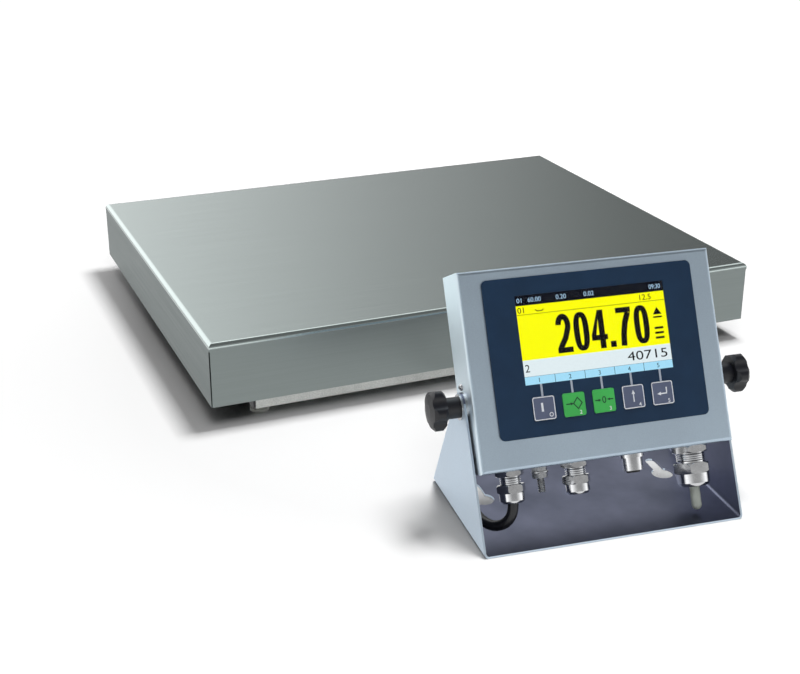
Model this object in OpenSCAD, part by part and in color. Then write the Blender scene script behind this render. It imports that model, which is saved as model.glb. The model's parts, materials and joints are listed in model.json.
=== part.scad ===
// Bench checkweighing scale: a low stainless platform and a tilting weighing terminal in front of it.
// Millimetres, +Z up, +Y to the back, origin on the floor in the middle of the whole set.

/* [Platform] */
// Width of the load plate, left to right
plate_w = 500; // [460:5:640]
// Depth of the load plate, front to back
plate_d = 400; // [380:5:560]
// Height of the load plate's folded skirt
skirt_h = 54; // [46:1:58]
// Thickness of the load plate sheet
plate_t = 2; // [1.5:0.5:3]
// Outer radius of the load plate's folds
plate_fold_r = 4; // [3.5:0.5:6]
// Width of the open seam at each corner of the skirt
seam_w = 1.2; // [0.4:0.1:1.5]
// Height of the rubber buffers under the load plate
buffer_h = 3; // [2:0.5:6]
// Radius of the rubber buffers
buffer_r = 12; // [8:1:16]

/* [Load cell] */
// Length of the load cell, front to back
cell_l = 130; // [120:1:150]
// Width of the load cell
cell_w = 30; // [28:1:36]
// Height of the load cell
cell_h = 25; // [24:1:32]
// Radius of the two bores that form the bending beams
cell_bore_r = 8; // [6:0.5:9]
// Thickness of the spacers above and below the load cell
spacer_t = 3; // [2:0.5:5]
// Width of the upper beam on the load cell
upper_beam_w = 60; // [50:1:80]
// Height of the upper beam and its arms
upper_h = 10; // [10:0.5:14]
// Width of each upper arm, front to back
arm_d = 40; // [36:1:50]

/* [Base] */
// Clear height under the base rails
rail_z = 8; // [8:0.5:14]
// Height of the base rails and of the base beam
rail_h = 20; // [20:0.5:26]
// Depth of each base rail, front to back
rail_d = 30; // [28:1:36]
// Wall of the base tubes
tube_t = 2; // [1.5:0.5:2.5]
// Inset of the rails from the front and rear edge of the load plate
rail_inset_y = 10; // [8:1:14]
// Inset of the rail ends from the sides of the load plate
rail_inset_x = 37; // [24:1:45]
// Width of the base beam
base_beam_w = 80; // [72:1:100]
// Radius of a levelling foot's pad
foot_r = 8; // [7:0.5:14]
// Radius of the foot studs and the overload stop screws
stud_r = 4; // [3:0.5:4.5]
// Gap between an overload stop and the arm above it
stop_gap = 1; // [0.5:0.1:2]

/* [Terminal] */
// Terminal pivot in front of the load plate's front edge
term_ahead = 210; // [180:1:260]
// Terminal pivot left of the platform's centre line
term_left = 31; // [0:1:80]
// Terminal turned clockwise, seen from above (degrees)
term_turn = 6; // [0:0.5:15]
// Face leaning back from upright at rest (degrees)
face_lean = 26; // [24:0.5:40]
// Height of the tilt pivot above the floor
pivot_h = 87; // [86:0.5:100]
// Width of the housing
case_w = 187; // [184:1:220]
// Height of the housing's face
case_h = 137; // [132:1:150]
// Depth of the housing without its rear cover
case_d = 34; // [33:0.5:44]
// Tilt pivot below the top edge of the face
pivot_drop = 90; // [80:1:94]
// Tilt pivot behind the face
pivot_back = 20.5; // [18:0.5:23]
// Thickness of the housing sheet
case_t = 1.5; // [1.2:0.1:2]
// Outer radius of the housing's folds
case_fold_r = 2.5; // [2.2:0.1:4]
// Thickness of the rear cover
cover_t = 1.5; // [1:0.1:2.5]
// Thickness of the gasket under the rear cover
gasket_t = 1; // [0.5:0.1:2]

/* [Bracket] */
// Thickness of the bracket sheet
bracket_t = 1.5; // [1.5:0.5:3]
// Half of the bracket's depth, front edge to pivot
bracket_half_d = 57; // [50:1:70]
// Outer radius of the bracket's folds
bracket_fold_r = 3.5; // [3.2:0.1:5]
// Radius of the ear's rounded top
ear_r = 10; // [9:0.5:14]
// Thickness of the spacer disc between housing and ear
pivot_spacer_t = 1.4; // [1:0.1:2.5]
// Radius of the keyhole's round entry
keyhole_r = 8; // [6:0.5:9]
// Width of the keyhole's slot
keyhole_slot_w = 8; // [5:0.5:8]
// Length of the keyhole's slot, measured from the entry's centre
keyhole_slot_l = 20; // [14:1:24]
// Distance of each keyhole from the bracket's centre line
keyhole_x = 71; // [50:1:74]
// Keyhole entry behind the pivot
keyhole_y = 18; // [8:1:24]

/* [Front] */
// Width of the keypad overlay
overlay_w = 155; // [150:1:170]
// Height of the keypad overlay
overlay_h = 109; // [106:1:118]
// Top edge of the overlay below the top edge of the face
overlay_drop = 7.5; // [5:0.5:12]
// Corner radius of the overlay
overlay_r = 4; // [3:0.5:10]
// Thickness of the overlay
overlay_t = 1.2; // [1:0.1:1.6]
// Width of the display window
window_w = 110; // [100:1:120]
// Height of the display window
window_h = 61; // [54:1:66]
// Display window below the top edge of the face
window_drop = 20; // [16:0.5:24]
// Side of a square key
key_size = 16; // [12:0.5:18]
// Distance from key to key
key_pitch = 22; // [20:0.5:24]
// Middle of the row of keys below the top edge of the face
key_drop = 97.7; // [96:0.5:104]
// How far a key stands above the overlay
key_proud = 0.5; // [0.2:0.1:1]
// Travel of a key
key_travel = 0.4; // [0.2:0.1:0.6]

/* [Knobs] */
// Radius of the star knob over its lobes
knob_r = 14.5; // [12:0.5:18]
// Length of the star head
knob_l = 11; // [10:0.5:18]
// Number of lobes
knob_lobes = 5; // [4:1:7]
// Radius of the knob's neck
neck_r = 7.4; // [6:0.2:8]
// Length of the knob's neck
neck_l = 10.5; // [6:0.5:14]
// Radius of the knob's stud
pivot_r = 3; // [2.5:0.25:4]

/* [Fittings] */
// Fittings behind the face, on the housing's underside
fitting_depth = 18; // [16:0.5:20]
// First cable gland, left of the centre line
gland_1_left = 68; // [64:1:74]
// Second cable gland, left of the centre line
gland_2_left = 20; // [14:1:26]
// Third, larger cable gland, right of the centre line
gland_3_right = 68; // [60:1:74]
// Earth stud, left of the centre line
earth_left = 46; // [43:1:48]
// Data socket, right of the centre line
socket_right = 23; // [14:1:32]
// Thread radius of the two smaller glands
small_gland_r = 8; // [7:0.5:8.5]
// Hexagon of the smaller glands, across flats
small_gland_hex = 18; // [17.5:0.5:20]
// Length of the smaller glands below the housing
small_gland_l = 22.5; // [20:0.5:24]
// Thread radius of the larger gland
large_gland_r = 10; // [8.5:0.5:10.5]
// Hexagon of the larger gland, across flats
large_gland_hex = 24; // [22:0.5:26]
// Length of the larger gland below the housing
large_gland_l = 29; // [26:0.5:29]
// Gap between the blanking plug and the bracket below it
plug_gap = 2.5; // [2.5:0.5:8]
// Radius of the data socket's threaded shell
socket_r = 7.5; // [6.5:0.5:8]
// Length of the data socket's shell below the housing
socket_l = 12; // [10:0.5:14]
// Radius of the earth stud
earth_r = 2.5; // [2:0.25:3]
// Length of the earth stud below the housing
earth_l = 18; // [14:1:22]

/* [Cable] */
// Diameter of the cable
cable_d = 7.5; // [6:0.5:8]
// Radius of the coil at the middle of its turns
coil_r = 41; // [38:1:46]

/* [Hidden] */
$fn = 48;
// Clearances: parts of one body, sliding fits, and small air gaps between bodies
fit = 0.1;
slide = 0.2;
air = 0.3;
// Depth by which a cut passes a face
past = 1;

// Heights of the platform's stack, from the floor up
rail_top = rail_z + rail_h;
cell_z = rail_top + spacer_t;
cell_top = cell_z + cell_h;
upper_z = cell_top + spacer_t;
upper_top = upper_z + upper_h;
plate_z = upper_top + buffer_h;
plate_top = plate_z + plate_t;
skirt_z = plate_top - skirt_h;

// Rails, arms and beams
rail_y = plate_d / 2 - rail_inset_y - rail_d / 2;
rail_l = plate_w - 2 * rail_inset_x;
cap_flange = 2;
cap_plug = 3;
base_beam_l = 2 * rail_y - rail_d;
beam_wall = 3;
// Wall left beside an overload stop's hole, and the arm's reach over the rail
stop_wall = 0.6;
arm_overlap = tube_t + 2 * (stud_r + stop_wall);
arm_y = rail_y - rail_d / 2 + arm_overlap - arm_d / 2;
arm_l = rail_l - 6;
upper_beam_l = 2 * arm_y - arm_d;
buffer_x = arm_l / 2 - buffer_r - 8;
foot_x = rail_l / 2 - max(foot_r, cap_flange + cap_plug + stud_r + 2 * slide);
foot_h = rail_z - 1;
foot_dome = 4.5;
foot_stud_top = rail_top + 12;
nut_h = 6;
nut_across = 3.25 * stud_r;
stop_x = rail_l / 2 - 63;
stop_y = rail_y - rail_d / 2 + tube_t + stud_r + stop_wall;
stop_foot = 6;

// Load cell bolts
cell_slot_h = 5;
cell_bore_y = 14;
cell_end_l = 40;
spacer_y = cell_l / 2 - cell_end_l / 2;
bolt_r = 4;
bolt_head_r = 6.5;
bolt_head_h = 7;
bolt_pitch = 20;
bolt_grip = 14;
tool_hole_r = 8;
seat_t = 2;
cell_bolt_y = [for (side = [-1, 1]) spacer_y + side * bolt_pitch / 2];

// Places of the platform and the terminal, with the whole set centred on the origin
bracket_w = case_w + 2 * (pivot_spacer_t + fit + bracket_t);
front_reach = bracket_half_d * cos(term_turn) + bracket_w / 2 * sin(term_turn);
plat_y = (term_ahead + front_reach) / 2;
term_x = -term_left;
term_y = plat_y - plate_d / 2 - term_ahead;

// Housing, measured from the tilt pivot with the face upright
face_y = -pivot_back;
case_back = face_y + case_d;
case_top = pivot_drop;
case_bottom = pivot_drop - case_h;
cover_y = case_back + gasket_t;
cover_inset = case_fold_r;
flange_w = 9;
screw_r = 2;
screw_head_r = 3.6;
screw_head_h = 2;
screw_l = 6;
side_screw_head_r = 2.6;
side_screw_z = ear_r + side_screw_head_r + 0.6;
overlay_y = face_y - overlay_t;
overlay_z = case_top - overlay_drop - overlay_h / 2;
window_z = case_top - window_drop - window_h / 2;
key_z = case_top - key_drop;
key_back = face_y - key_travel - fit;
key_front = overlay_y - key_proud;
key_gap = 0.15;
key_r = 1.5;
first_key = -2 * key_pitch;
module_w = window_w + 11;
module_h = window_h + 14;
module_t = 5.5;
window_rim = 1;
boss_r = 8;
boss_l = 10;
board_side = 3;
board_w = case_w - 2 * (case_t + boss_l + board_side);
board_h = 104;
board_t = 1.6;
board_y = face_y + case_t + 11;
board_z = (case_top + case_bottom) / 2 + 2;
standoff_r = 3;
standoff_x = board_w / 2 - 6;
standoff_z = board_h / 2 - 6;
washer_t = 1;
washer_r = neck_r + 1.6;
stud_l = neck_l + washer_t + bracket_t + pivot_spacer_t + case_t + boss_l;
stud_grip = 8;
ear_x = bracket_w / 2;

// Cable glands: [thread radius, hexagon across flats, length below the housing]
gland_small = [small_gland_r, small_gland_hex, small_gland_l];
gland_large = [large_gland_r, large_gland_hex, large_gland_l];
gland_y = face_y + fitting_depth;
gland_seal_r = cable_d / 2 + 1.2;
gland_in = 7;
lock_nut_h = 3;
// Shares of a gland's length taken by its hexagon, its neck, the nut's start, the nut's hexagon and the seal
body_hex_share = 0.18;
neck_share = 0.62;
nut_start_share = 0.43;
nut_hex_share = 0.26;
seal_share = 0.7;
// Thread of a gland's neck: how far it stays inside the hexagon, ridge depth and ridge pitch
neck_wall = 1.6;
ridge_depth = 0.7;
ridge_pitch = 1.4;
ridge_count = 4;
// Cap nut of a gland: dome inside the hexagon, mouth outside the seal, seal behind the mouth
dome_step = 0.3;
mouth_gap = 0.8;
seal_back = 0.6;
plug_r = 3.6;
plug_out = case_bottom - large_gland_l
    + (pivot_h - bracket_t - plug_gap - plug_r - gland_y * sin(face_lean)) / cos(face_lean);
socket_flange_r = socket_r + 1.5;
socket_thread_r = socket_r - 1;
socket_pin_r = socket_r - 2.7;
socket_proud = 1.6;
earth_nut_h = 1.4 * earth_r;
earth_across = 4 * earth_r;
earth_root_r = earth_r - 0.4;
earth_clamped = 2 * earth_nut_h + washer_t + 2 * fit;

// Platform gland on its bracket beside the base beam
entry_plate_t = 3;
entry_gap = 0.6;
entry_x = base_beam_w / 2 + entry_plate_t + small_gland_hex / sqrt(3) + entry_gap;
entry_y = -base_beam_l / 2 + 70;
entry_z = rail_z + 10;
entry_plate_h = 26;
entry_plate_w = 2 * (entry_x - base_beam_w / 2);
lead_d = 5;

// Route of the cable from gland to coil, in the terminal's frame on the floor
lead_points = [
    [-68, -30, 31], [-68, -33, 25.5], [-69.5, -35, 18], [-73, -33.5, 11.5], [-77.5, -29.5, 7.5],
    [-81, -25, 6.2], [-83.5, -19.5, 6], [-85, -12, 6], [-85, 5, 6], [-84.5, 20, 6],
    [-82, 36, 6], [-76, 51, 6], [-67, 63, 5.5], [-55, 72, 4.5], [-40, 79, 4], [-22, 84, 4],
    [0, 86.5, 4.2]];
// Middle of the coil, in the terminal's frame
coil_place = [19, 136];
// Route from the coil towards the platform, in the terminal's frame
tail_points = [[69.5, 150, 11], [69, 166, 8.5], [67.5, 182, 5.5], [65.5, 198, 4]];
// Route under the rail and up into the platform gland, in the platform's frame
entry_points = [
    [entry_x, -195, 3.8], [entry_x, -176, 3.8], [entry_x, -158, 3.8], [entry_x, -148, 5.4],
    [entry_x, -138, 10.9], [entry_x, -128, 16.4], [entry_x, -118, 18], [entry_x, -100, 18]];
// Route of the inner lead from the platform gland to the load cell, in the platform's frame
lead_x = base_beam_w / 2 + lead_d / 2 + 0.5;
inner_points = [
    [entry_x, -96, 18], [entry_x, -78, 18], [entry_x - 2, -60, 18], [lead_x + 2.5, -42, 18],
    [lead_x, -24, 18], [lead_x, -4, 19], [lead_x, 14, 23], [lead_x, 26, 30.5], [lead_x - 5, 35, 37],
    [lead_x - 15, 40, 41], [15.3, 41, 42]];
tie_t = 0.8;
tie_w = 12;
coil_z = tie_t;
coil_rows = 3;
coil_layers = 2;
coil_w = coil_rows * cable_d;
coil_h = coil_layers * cable_d;
coil_outer = coil_r + cable_d;

// Colours
STEEL = [0.72, 0.75, 0.76];
BLASTED = [0.62, 0.64, 0.63];
ALUMINIUM = [0.78, 0.79, 0.8];
NICKEL = [0.75, 0.74, 0.7];
BLACK = [0.09, 0.1, 0.13];
RUBBER = [0.07, 0.07, 0.07];
NAVY = [0.14, 0.19, 0.26];
GREEN = [0.2, 0.65, 0.21];
SLATE = [0.37, 0.4, 0.5];
BOARD = [0.1, 0.35, 0.2];
PALE = [0.86, 0.88, 0.84];

// Placing
module at_platform() {
    translate([0, plat_y, 0]) children();
}

module at_terminal() {
    translate([term_x, term_y, 0]) rotate([0, 0, -term_turn]) children();
}

module at_head() {
    at_terminal() translate([0, 0, pivot_h]) rotate([-face_lean, 0, 0]) children();
}

module mirrored_x() {
    for (side = [0, 1]) mirror([side, 0, 0]) children();
}

module at_corners(x, y) {
    for (sx = [-1, 1]) for (sy = [-1, 1]) translate([sx * x, sy * y, 0]) children();
}

function terminal_to_row(p) = [
    term_x + p[0] * cos(term_turn) + p[1] * sin(term_turn),
    term_y - p[0] * sin(term_turn) + p[1] * cos(term_turn),
    p[2]];

function platform_to_row(p) = p + [0, plat_y, 0];

// Flat shapes
module rounded_rect(w, h, r) {
    square([w - 2 * r, h], center = true);
    square([w, h - 2 * r], center = true);
    for (sx = [-1, 1]) for (sy = [-1, 1])
        translate([sx * (w / 2 - r), sy * (h / 2 - r)]) circle(r);
}

// Upright outline of a sheet folded at both sides: flat top with rounded shoulders
module folded_outline(w, h, r) {
    translate([-w / 2, -h]) square([w, h - r]);
    translate([-w / 2 + r, -h]) square([w - 2 * r, h]);
    for (side = [-1, 1]) translate([side * (w / 2 - r), -r]) circle(r);
}

// Block with its four top edges folded round, top face at z = 0
module folded_block(w, d, h, r) {
    intersection() {
        rotate([90, 0, 0]) translate([0, 0, -d / 2]) linear_extrude(d) folded_outline(w, h, r);
        rotate([90, 0, 90]) translate([0, 0, -w / 2]) linear_extrude(w) folded_outline(d, h, r);
    }
}

// Block folded round at its front and its back, front face at z = 0
module boxed_block(w, d, h, r) {
    intersection() {
        folded_block(w, d, h, r);
        translate([0, 0, -h]) mirror([0, 0, 1]) folded_block(w, d, h, r);
    }
}

// Tray folded from sheet, open below, with mitred folds and open corner seams
module folded_tray(w, d, h, r, t, seam) {
    difference() {
        folded_block(w, d, h, r);
        translate([0, 0, -t]) folded_block(w - 2 * t, d - 2 * t, h, r - t);
        if (seam > 0)
            for (sx = [-1, 1]) for (sy = [-1, 1])
                translate([sx * w / 2, sy * d / 2, -h - past]) rotate([0, 0, 45 * sx * sy])
                    translate([-2 * r, -seam / 2, 0]) cube([4 * r, seam, h - r - t + past]);
    }
}

module ring(r_out, r_in, h) {
    difference() {
        cylinder(r = r_out, h = h);
        translate([0, 0, -past]) cylinder(r = r_in, h = h + 2 * past);
    }
}

module hexagon(across, h) {
    cylinder(r = across / sqrt(3), h = h, $fn = 6);
}

// Hexagon with both ends chamfered round, as a turned nut has
module turned_hex(across, h) {
    chamfer = across * 0.06;
    r = across / sqrt(3);
    intersection() {
        hexagon(across, h);
        rotate_extrude() polygon([[0, 0], [r - chamfer, 0], [r + fit, chamfer], [r + fit, h - chamfer],
            [r - chamfer, h], [0, h]]);
    }
}

module hex_nut(across, r_in, h) {
    difference() {
        turned_hex(across, h);
        translate([0, 0, -past]) cylinder(r = r_in, h = h + 2 * past);
    }
}

// Round tube swept along points, with rings that do not twist
function unit(v) = v / norm(v);

function tangents(pts) = [for (i = [0:len(pts) - 1])
    unit(pts[min(i + 1, len(pts) - 1)] - pts[max(i - 1, 0)])];

function square_to(v, t) = unit(v - (v * t) * t);

function sides_along(ts) = [for (i = 0, n = square_to([1, 0.1, 0.2], ts[0]); i < len(ts);
    i = i + 1, n = square_to(n, ts[min(i, len(ts) - 1)])) n];

module swept_tube(pts, r, sides) {
    ts = tangents(pts);
    ns = sides_along(ts);
    count = len(pts);
    points = [for (i = [0:count - 1]) for (k = [0:sides - 1])
        pts[i] + r * (cos(360 * k / sides) * ns[i] + sin(360 * k / sides) * cross(ts[i], ns[i]))];
    walls = [for (i = [0:count - 2]) for (k = [0:sides - 1])
        let (a = i * sides, b = a + sides, next = (k + 1) % sides)
        [a + k, b + k, b + next, a + next]];
    ends = [[for (k = [0:sides - 1]) k], [for (k = [sides - 1:-1:0]) (count - 1) * sides + k]];
    polyhedron(points, concat(walls, ends));
}

// Platform
module load_plate() {
    color(STEEL) at_platform() translate([0, 0, plate_top])
        folded_tray(plate_w, plate_d, skirt_h, plate_fold_r, plate_t, seam_w);
}

module plate_buffers() {
    color(RUBBER) at_platform() translate([0, 0, upper_top])
        at_corners(buffer_x, arm_y) cylinder(r = buffer_r, h = buffer_h);
}

module upper_beam() {
    color(ALUMINIUM) at_platform() difference() {
        translate([-upper_beam_w / 2, -upper_beam_l / 2, upper_z])
            cube([upper_beam_w, upper_beam_l, upper_h]);
        for (y = cell_bolt_y) {
            translate([0, -y, upper_z - past]) cylinder(r = bolt_r + slide, h = upper_h + 2 * past);
            translate([0, -y, upper_z + seat_t]) cylinder(r = bolt_head_r + air, h = upper_h);
        }
    }
}

module upper_arm(side) {
    color(ALUMINIUM) at_platform() translate([-arm_l / 2, side * arm_y - arm_d / 2, upper_z])
        cube([arm_l, arm_d, upper_h]);
}

module upper_arm_front() upper_arm(-1);

module upper_arm_rear() upper_arm(1);

module cell_spacers() {
    color(ALUMINIUM) at_platform() for (end = [[-1, cell_top], [1, rail_top]])
        difference() {
            translate([-cell_w / 2, end[0] * spacer_y - cell_end_l / 2, end[1]])
                cube([cell_w, cell_end_l, spacer_t]);
            for (y = cell_bolt_y)
                translate([0, end[0] * y, end[1] - past])
                    cylinder(r = bolt_r + slide, h = spacer_t + 2 * past);
        }
}

module load_cell() {
    mid_z = cell_z + cell_h / 2;
    color(ALUMINIUM) at_platform() difference() {
        translate([-cell_w / 2, -cell_l / 2, cell_z]) cube([cell_w, cell_l, cell_h]);
        translate([-cell_w / 2 - past, 0, mid_z]) rotate([0, 90, 0])
            for (side = [-1, 1]) translate([0, side * cell_bore_y, 0])
                cylinder(r = cell_bore_r, h = cell_w + 2 * past);
        translate([-cell_w / 2 - past, -cell_bore_y, mid_z - cell_slot_h / 2])
            cube([cell_w + 2 * past, 2 * cell_bore_y, cell_slot_h]);
        for (y = cell_bolt_y) {
            translate([0, -y, cell_top - bolt_grip - past])
                cylinder(r = bolt_r + fit, h = bolt_grip + 2 * past);
            translate([0, y, cell_z - past]) cylinder(r = bolt_r + fit, h = bolt_grip + 2 * past);
        }
    }
}

// Socket head cap screw, its seat at z = 0 and its shank upwards
module cap_screw(shank) {
    difference() {
        union() {
            translate([0, 0, -past]) cylinder(r = bolt_r, h = shank + past);
            translate([0, 0, -bolt_head_h]) cylinder(r = bolt_head_r, h = bolt_head_h);
        }
        translate([0, 0, -bolt_head_h - past]) hexagon(1.5 * bolt_r, bolt_head_h / 2 + past);
    }
}

module load_cell_bolts() {
    color(STEEL) at_platform() for (y = cell_bolt_y) {
        translate([0, y, rail_top - beam_wall]) cap_screw(beam_wall + spacer_t + bolt_grip);
        translate([0, -y, upper_z + seat_t]) mirror([0, 0, 1])
            cap_screw(seat_t + spacer_t + bolt_grip);
    }
}

module base_beam() {
    color(BLASTED) at_platform() difference() {
        translate([-base_beam_w / 2, -base_beam_l / 2, rail_z]) cube([base_beam_w, base_beam_l, rail_h]);
        translate([-base_beam_w / 2 + beam_wall, -base_beam_l / 2 - past, rail_z + beam_wall])
            cube([base_beam_w - 2 * beam_wall, base_beam_l + 2 * past, rail_h - 2 * beam_wall]);
        for (y = cell_bolt_y) {
            translate([0, y, rail_z - past]) cylinder(r = tool_hole_r, h = beam_wall + 2 * past);
            translate([0, y, rail_top - beam_wall - past])
                cylinder(r = bolt_r + slide, h = beam_wall + 2 * past);
        }
    }
}

module base_rail(side) {
    tube_l = rail_l - 2 * cap_flange;
    color(BLASTED) at_platform() translate([0, side * rail_y, 0]) difference() {
        translate([-tube_l / 2, -rail_d / 2, rail_z]) cube([tube_l, rail_d, rail_h]);
        translate([-tube_l / 2 - past, -rail_d / 2 + tube_t, rail_z + tube_t])
            cube([tube_l + 2 * past, rail_d - 2 * tube_t, rail_h - 2 * tube_t]);
        for (sx = [-1, 1]) {
            translate([sx * foot_x, 0, rail_z - past])
                cylinder(r = stud_r + slide, h = rail_h + 2 * past);
            translate([sx * stop_x, side * (stop_y - rail_y), rail_top - tube_t - past])
                cylinder(r = stud_r + slide, h = tube_t + 2 * past);
        }
    }
}

module base_rail_front() base_rail(-1);

module base_rail_rear() base_rail(1);

module rail_end_caps() {
    plug_d = rail_d - 2 * tube_t - 2 * fit;
    plug_h = rail_h - 2 * tube_t - 2 * fit;
    color(BLACK) at_platform() for (sx = [-1, 1]) for (sy = [-1, 1])
        translate([sx * (rail_l / 2 - cap_flange), sy * rail_y, rail_z + rail_h / 2])
            mirror([sx < 0 ? 1 : 0, 0, 0]) rotate([90, 0, 90]) difference() {
                union() {
                    linear_extrude(cap_flange) rounded_rect(rail_d, rail_h, tube_t);
                    translate([0, 0, -cap_plug]) linear_extrude(cap_plug + fit)
                        rounded_rect(plug_d, plug_h, tube_t);
                }
                translate([0, 0, -cap_plug - past]) linear_extrude(cap_plug)
                    rounded_rect(plug_d - 2 * tube_t, plug_h - 2 * tube_t, tube_t / 2);
            }
}

module overload_stops() {
    stop_l = upper_z - stop_gap - rail_top + stop_foot;
    color(STEEL) at_platform() at_corners(stop_x, stop_y)
        translate([0, 0, rail_top - stop_foot]) cylinder(r = stud_r, h = stop_l);
}

module frame_lock_nuts() {
    color(STEEL) at_platform() translate([0, 0, rail_top]) {
        at_corners(foot_x, rail_y) hex_nut(nut_across, stud_r + fit, nut_h);
        at_corners(stop_x, stop_y) hex_nut(nut_across, stud_r + fit, nut_h);
    }
}

module foot(sx, sy) {
    dome_r = (pow(foot_r, 2) + pow(foot_dome, 2)) / (2 * foot_dome);
    color(PALE) at_platform() translate([sx * foot_x, sy * rail_y, 0]) {
        intersection() {
            cylinder(r = foot_r, h = foot_h);
            translate([0, 0, foot_h - dome_r]) sphere(dome_r);
        }
        translate([0, 0, foot_h - past]) cylinder(r = stud_r, h = foot_stud_top - foot_h + past);
    }
}

module foot_front_left() foot(-1, -1);

module foot_front_right() foot(1, -1);

module foot_rear_left() foot(-1, 1);

module foot_rear_right() foot(1, 1);

// Round bubble level on the front rail
module spirit_level() {
    level_r = 9;
    level_h = 8;
    rim = 1.5;
    well = 3;
    color(BLACK) at_platform() translate([rail_l / 4, -rail_y, rail_top]) difference() {
        cylinder(r = level_r, h = level_h);
        translate([0, 0, well]) cylinder(r = level_r - rim, h = level_h);
    }
}

// Angle plate on the base beam that carries the platform's cable gland
module cable_bracket() {
    foot_l = 22;
    color(BLASTED) at_platform() difference() {
        translate([base_beam_w / 2, entry_y, rail_z]) {
            cube([entry_plate_w, entry_plate_t, entry_plate_h]);
            cube([entry_plate_t, foot_l, rail_h]);
        }
        translate([entry_x, entry_y - past, entry_z]) rotate([-90, 0, 0])
            cylinder(r = gland_small[0] + fit, h = entry_plate_t + 2 * past);
    }
}

// Cable gland pointing down from its seat at z = 0
module gland_body(size) {
    hex_h = size[2] * body_hex_share;
    ridge_r = size[1] / 2 - neck_wall;
    root_r = ridge_r - ridge_depth;
    half = 0.43 * ridge_pitch;
    difference() {
        union() {
            translate([0, 0, -hex_h]) turned_hex(size[1], hex_h);
            translate([0, 0, -past]) cylinder(r = size[0], h = gland_in + past);
            translate([0, 0, -size[2] * neck_share]) cylinder(r = root_r, h = size[2] * neck_share - past);
            for (i = [0:ridge_count - 1])
                translate([0, 0, -hex_h - 2 * half - i * ridge_pitch]) rotate_extrude()
                    polygon([[0, -half], [root_r, -half], [ridge_r, 0], [root_r, half], [0, half]]);
        }
        translate([0, 0, -size[2]]) cylinder(r = gland_seal_r + fit, h = size[2] + gland_in + past);
    }
}

// Dome-shaped cap nut of a gland, its open end on the gland's neck
module gland_nut(size) {
    l = size[2];
    hex_h = l * nut_hex_share;
    dome_h = l - l * nut_start_share - hex_h;
    dome_r = size[1] / 2 - dome_step;
    ball_r = 1.18 * dome_r;
    difference() {
        union() {
            translate([0, 0, -l + dome_h]) turned_hex(size[1], hex_h);
            translate([0, 0, -l]) intersection() {
                cylinder(r = dome_r, h = dome_h + fit);
                translate([0, 0, 0.7 * ball_r]) sphere(ball_r);
            }
        }
        translate([0, 0, -l * neck_share - air]) cylinder(r = size[1] / 2 - neck_wall + fit, h = l);
        translate([0, 0, -l - past]) cylinder(r = gland_seal_r + mouth_gap, h = l);
    }
}

module gland_seal(size, hole_r) {
    translate([0, 0, -size[2] + seal_back]) difference() {
        cylinder(r = gland_seal_r, h = size[2] * seal_share);
        if (hole_r > 0) translate([0, 0, -past]) cylinder(r = hole_r, h = size[2]);
    }
}

module at_platform_gland() {
    at_platform() translate([entry_x, entry_y, entry_z]) rotate([-90, 0, 0]) children();
}

module platform_gland_body() {
    color(NICKEL) at_platform_gland() gland_body(gland_small);
}

module platform_gland_nuts() {
    color(NICKEL) at_platform_gland() {
        gland_nut(gland_small);
        translate([0, 0, entry_plate_t]) hex_nut(gland_small[1], gland_small[0] + fit, lock_nut_h);
    }
}

module platform_gland_seal() {
    color(RUBBER) at_platform_gland() gland_seal(gland_small, cable_d / 2 + slide);
}

module load_cell_lead() {
    color(BLACK) swept_tube([for (p = inner_points) platform_to_row(p)], lead_d / 2, 8);
}

// Terminal bracket: one sheet folded to a U, its ears narrowing to the pivot
module ear_outline() {
    reach = norm([bracket_half_d, pivot_h - bracket_t]);
    rise = atan2(pivot_h - bracket_t, bracket_half_d);
    lean = rise + asin(ear_r / reach);
    touch = [ear_r * sin(lean), ear_r * cos(lean)];
    translate([-bracket_half_d, 0]) square([2 * bracket_half_d, bracket_t]);
    polygon([[-bracket_half_d, bracket_t - fit], [bracket_half_d, bracket_t - fit],
        [touch[0], pivot_h + touch[1]], [-touch[0], pivot_h + touch[1]]]);
    translate([0, pivot_h]) circle(ear_r);
}

module keyhole() {
    circle(keyhole_r);
    translate([-keyhole_slot_w / 2, 0]) square([keyhole_slot_w, keyhole_slot_l]);
    translate([0, keyhole_slot_l]) circle(keyhole_slot_w / 2);
}

module bracket() {
    u_h = pivot_h + ear_r;
    color(STEEL) at_terminal() difference() {
        intersection() {
            rotate([90, 0, 0]) translate([0, 0, -bracket_half_d]) linear_extrude(2 * bracket_half_d)
                mirror([0, 1]) difference() {
                    folded_outline(bracket_w, u_h, bracket_fold_r);
                    translate([0, -bracket_t]) folded_outline(bracket_w - 2 * bracket_t, u_h,
                        bracket_fold_r - bracket_t);
                }
            rotate([90, 0, 90]) translate([0, 0, -bracket_w / 2]) linear_extrude(bracket_w) ear_outline();
        }
        translate([-ear_x - past, 0, pivot_h]) rotate([0, 90, 0])
            cylinder(r = pivot_r + slide, h = bracket_w + 2 * past);
        for (side = [-1, 1]) translate([side * keyhole_x, keyhole_y, -past])
            linear_extrude(bracket_t + 2 * past) keyhole();
    }
}

// Middle of the housing's back and its screw places, seen from behind
module at_cover_screws() {
    mid = (case_top + case_bottom) / 2;
    x = case_w / 2 - case_t - flange_w / 2;
    z = case_h / 2 - case_t - flange_w / 2;
    for (sx = [-1, 0, 1]) for (sz = [-1, 1]) translate([sx * x, 0, mid + sz * z]) children();
}

module along_y(y, length) {
    translate([0, y, 0]) rotate([-90, 0, 0]) linear_extrude(length) children();
}

// Pierced places on the underside: [x, radius]
function fitting_holes() = [
    [-gland_1_left, gland_small[0]], [-gland_2_left, gland_small[0]], [gland_3_right, gland_large[0]],
    [-earth_left, earth_root_r], [socket_right, socket_thread_r]];

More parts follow.
